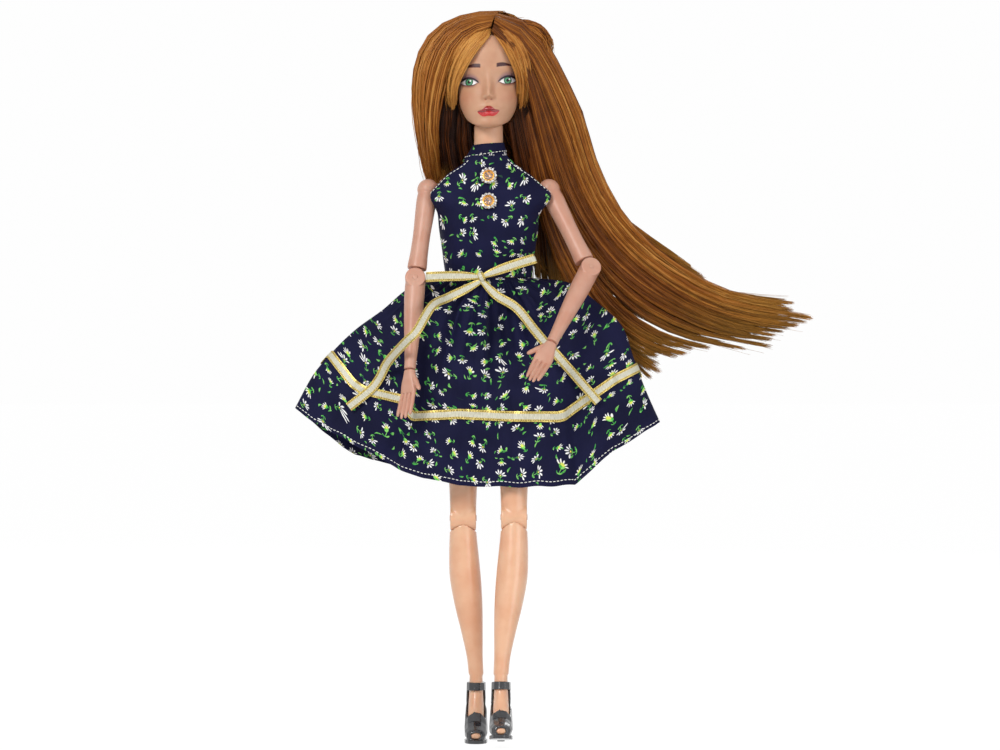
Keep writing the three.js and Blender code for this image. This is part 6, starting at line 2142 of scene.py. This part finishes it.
# Guides, strands, half depths, tone, locks, the rest, and the solid that each sheet stands for. The tone
# holds painted light and shade besides the hair's colour: the curtain and the fringes are lighter, as lit,
# and the inner sheets darker, as shade.
HANGING = {
    "hair_curtain": (
        CURTAIN, 2000, (2.5, 4, 3.5, 3, 2), 0.66, 26, dict(steps=13, gold=0.7), "hair_lock_right",
    ),
    "hair_sweep_outer": (SWEEP_OUTER, 1400, SWEEP_DEPTHS, 0.56, 19, dict(steps=17), "hair_fall_outer"),
    "hair_sweep_middle": (SWEEP_MIDDLE, 1400, SWEEP_DEPTHS, 0.43, 19, dict(steps=17), "hair_fall_middle"),
    "hair_sweep_inner": (
        SWEEP_INNER, 1200, (3, 3, 3.5, 3.5, 3, 3), 0.42, 16, dict(steps=15), "hair_fall_inner",
    ),
    # These two sheets beside and behind the neck are painted dark, as shade.
    "hair_dark_left": (DARK_LEFT, 950, (2, 3, 3, 3), 0.17, 9, dict(steps=11), "hair_back"),
    "hair_dark_right": (DARK_RIGHT, 800, (2, 3, 3, 2), 0.08, 8, dict(steps=12)),
    "hair_back_sweep": (BACK, 1600, (1.5, 2, 2.5, 3, 3), 0.5, 22, dict(steps=14)),
    "hair_side_left": (SIDE_LEFT, 1000, (1.5, 2.5, 3, 3, 2.5), 0.5, 14, dict(steps=14)),
    "hair_side_right": (SIDE_RIGHT, 900, (1.5, 2.5, 3, 2.5, 2), 0.45, 8, dict(steps=12)),
}
ON_THE_HEAD = {
    # The fringe on the doll's right is painted lighter than the other, as lit.
    "hair_fringe_one": (FRINGE_RIGHT, 900, FRINGE_DEPTHS, 0.96, 13, FRINGE, "hair_fringe_right"),
    "hair_fringe_two": (FRINGE_LEFT, 900, FRINGE_DEPTHS, 0.78, 13, FRINGE, "hair_fringe_left"),
    "hair_loop": (LOOP, 140, (1, 2, 1), 0.5, 5, dict(steps=12, **LOOSE)),
    "hair_crown": (CROWN, 160, (1, 2, 1), 0.5, 7, dict(steps=10, **LOOSE)),
}
for sheets, hang in ((HANGING, True), (ON_THE_HEAD, False)):
    for name, (rows, count, thick, tone, locks, options, *nodes) in sheets.items():
        wear(sheet_of_hair(name, rows, count, thick, tone, locks, **options), hang, *nodes)

# %% [markdown]
# Under the sheets a cap of hair, painted dark as shade like the cores, follows the skull down to the
# hairline.

# %% Hair cap
CAP_GROW = 0.8
CAP_THICK = 0.8
NAPE = 254
FOREHEAD = 288


def hairline(angle):
    """Height of the hairline round the head. The angle runs from the doll's left side over the back."""
    front = clamp(-np.sin(angle))
    return NAPE + (FOREHEAD - NAPE) * front**0.8


def cap_place(u, v):
    angle = TURN * u
    low = np.interp(hairline(angle), head_heights, head_shares)
    share = low + (1 - low) * clamp(v)
    z, middle, half_width, half_depth = head_section(share, CAP_GROW)
    close = clamp((1 - v) / 0.03)
    x, y = oval(angle, half_width * close, half_depth * close, power=HEAD_POWER)
    return np.stack([x, y + middle, z], 1)


cap = place_mm(rolled("hair_cap_base", 97, 48, cap_place, lambda u, v: (u * 90, v * 40)))
apply(cap, "SOLIDIFY", thickness=CAP_THICK * MM, offset=-1.0)
dress(cap, shaded_core_finish, "hair_fibre", "head", "hair_cap")

# %% [markdown]
# The links, the hip pins and the shoulder pins are right as they are, so they only get their plastic.

# %% Hidden pieces
HIDDEN = ("shoulder_link", "shoulder_pin", "elbow_link", "hip_link", "hip_pin")
for label in SIDES:
    for piece in HIDDEN:
        coat(frame["nodes"][label + "_" + piece], link_finish)
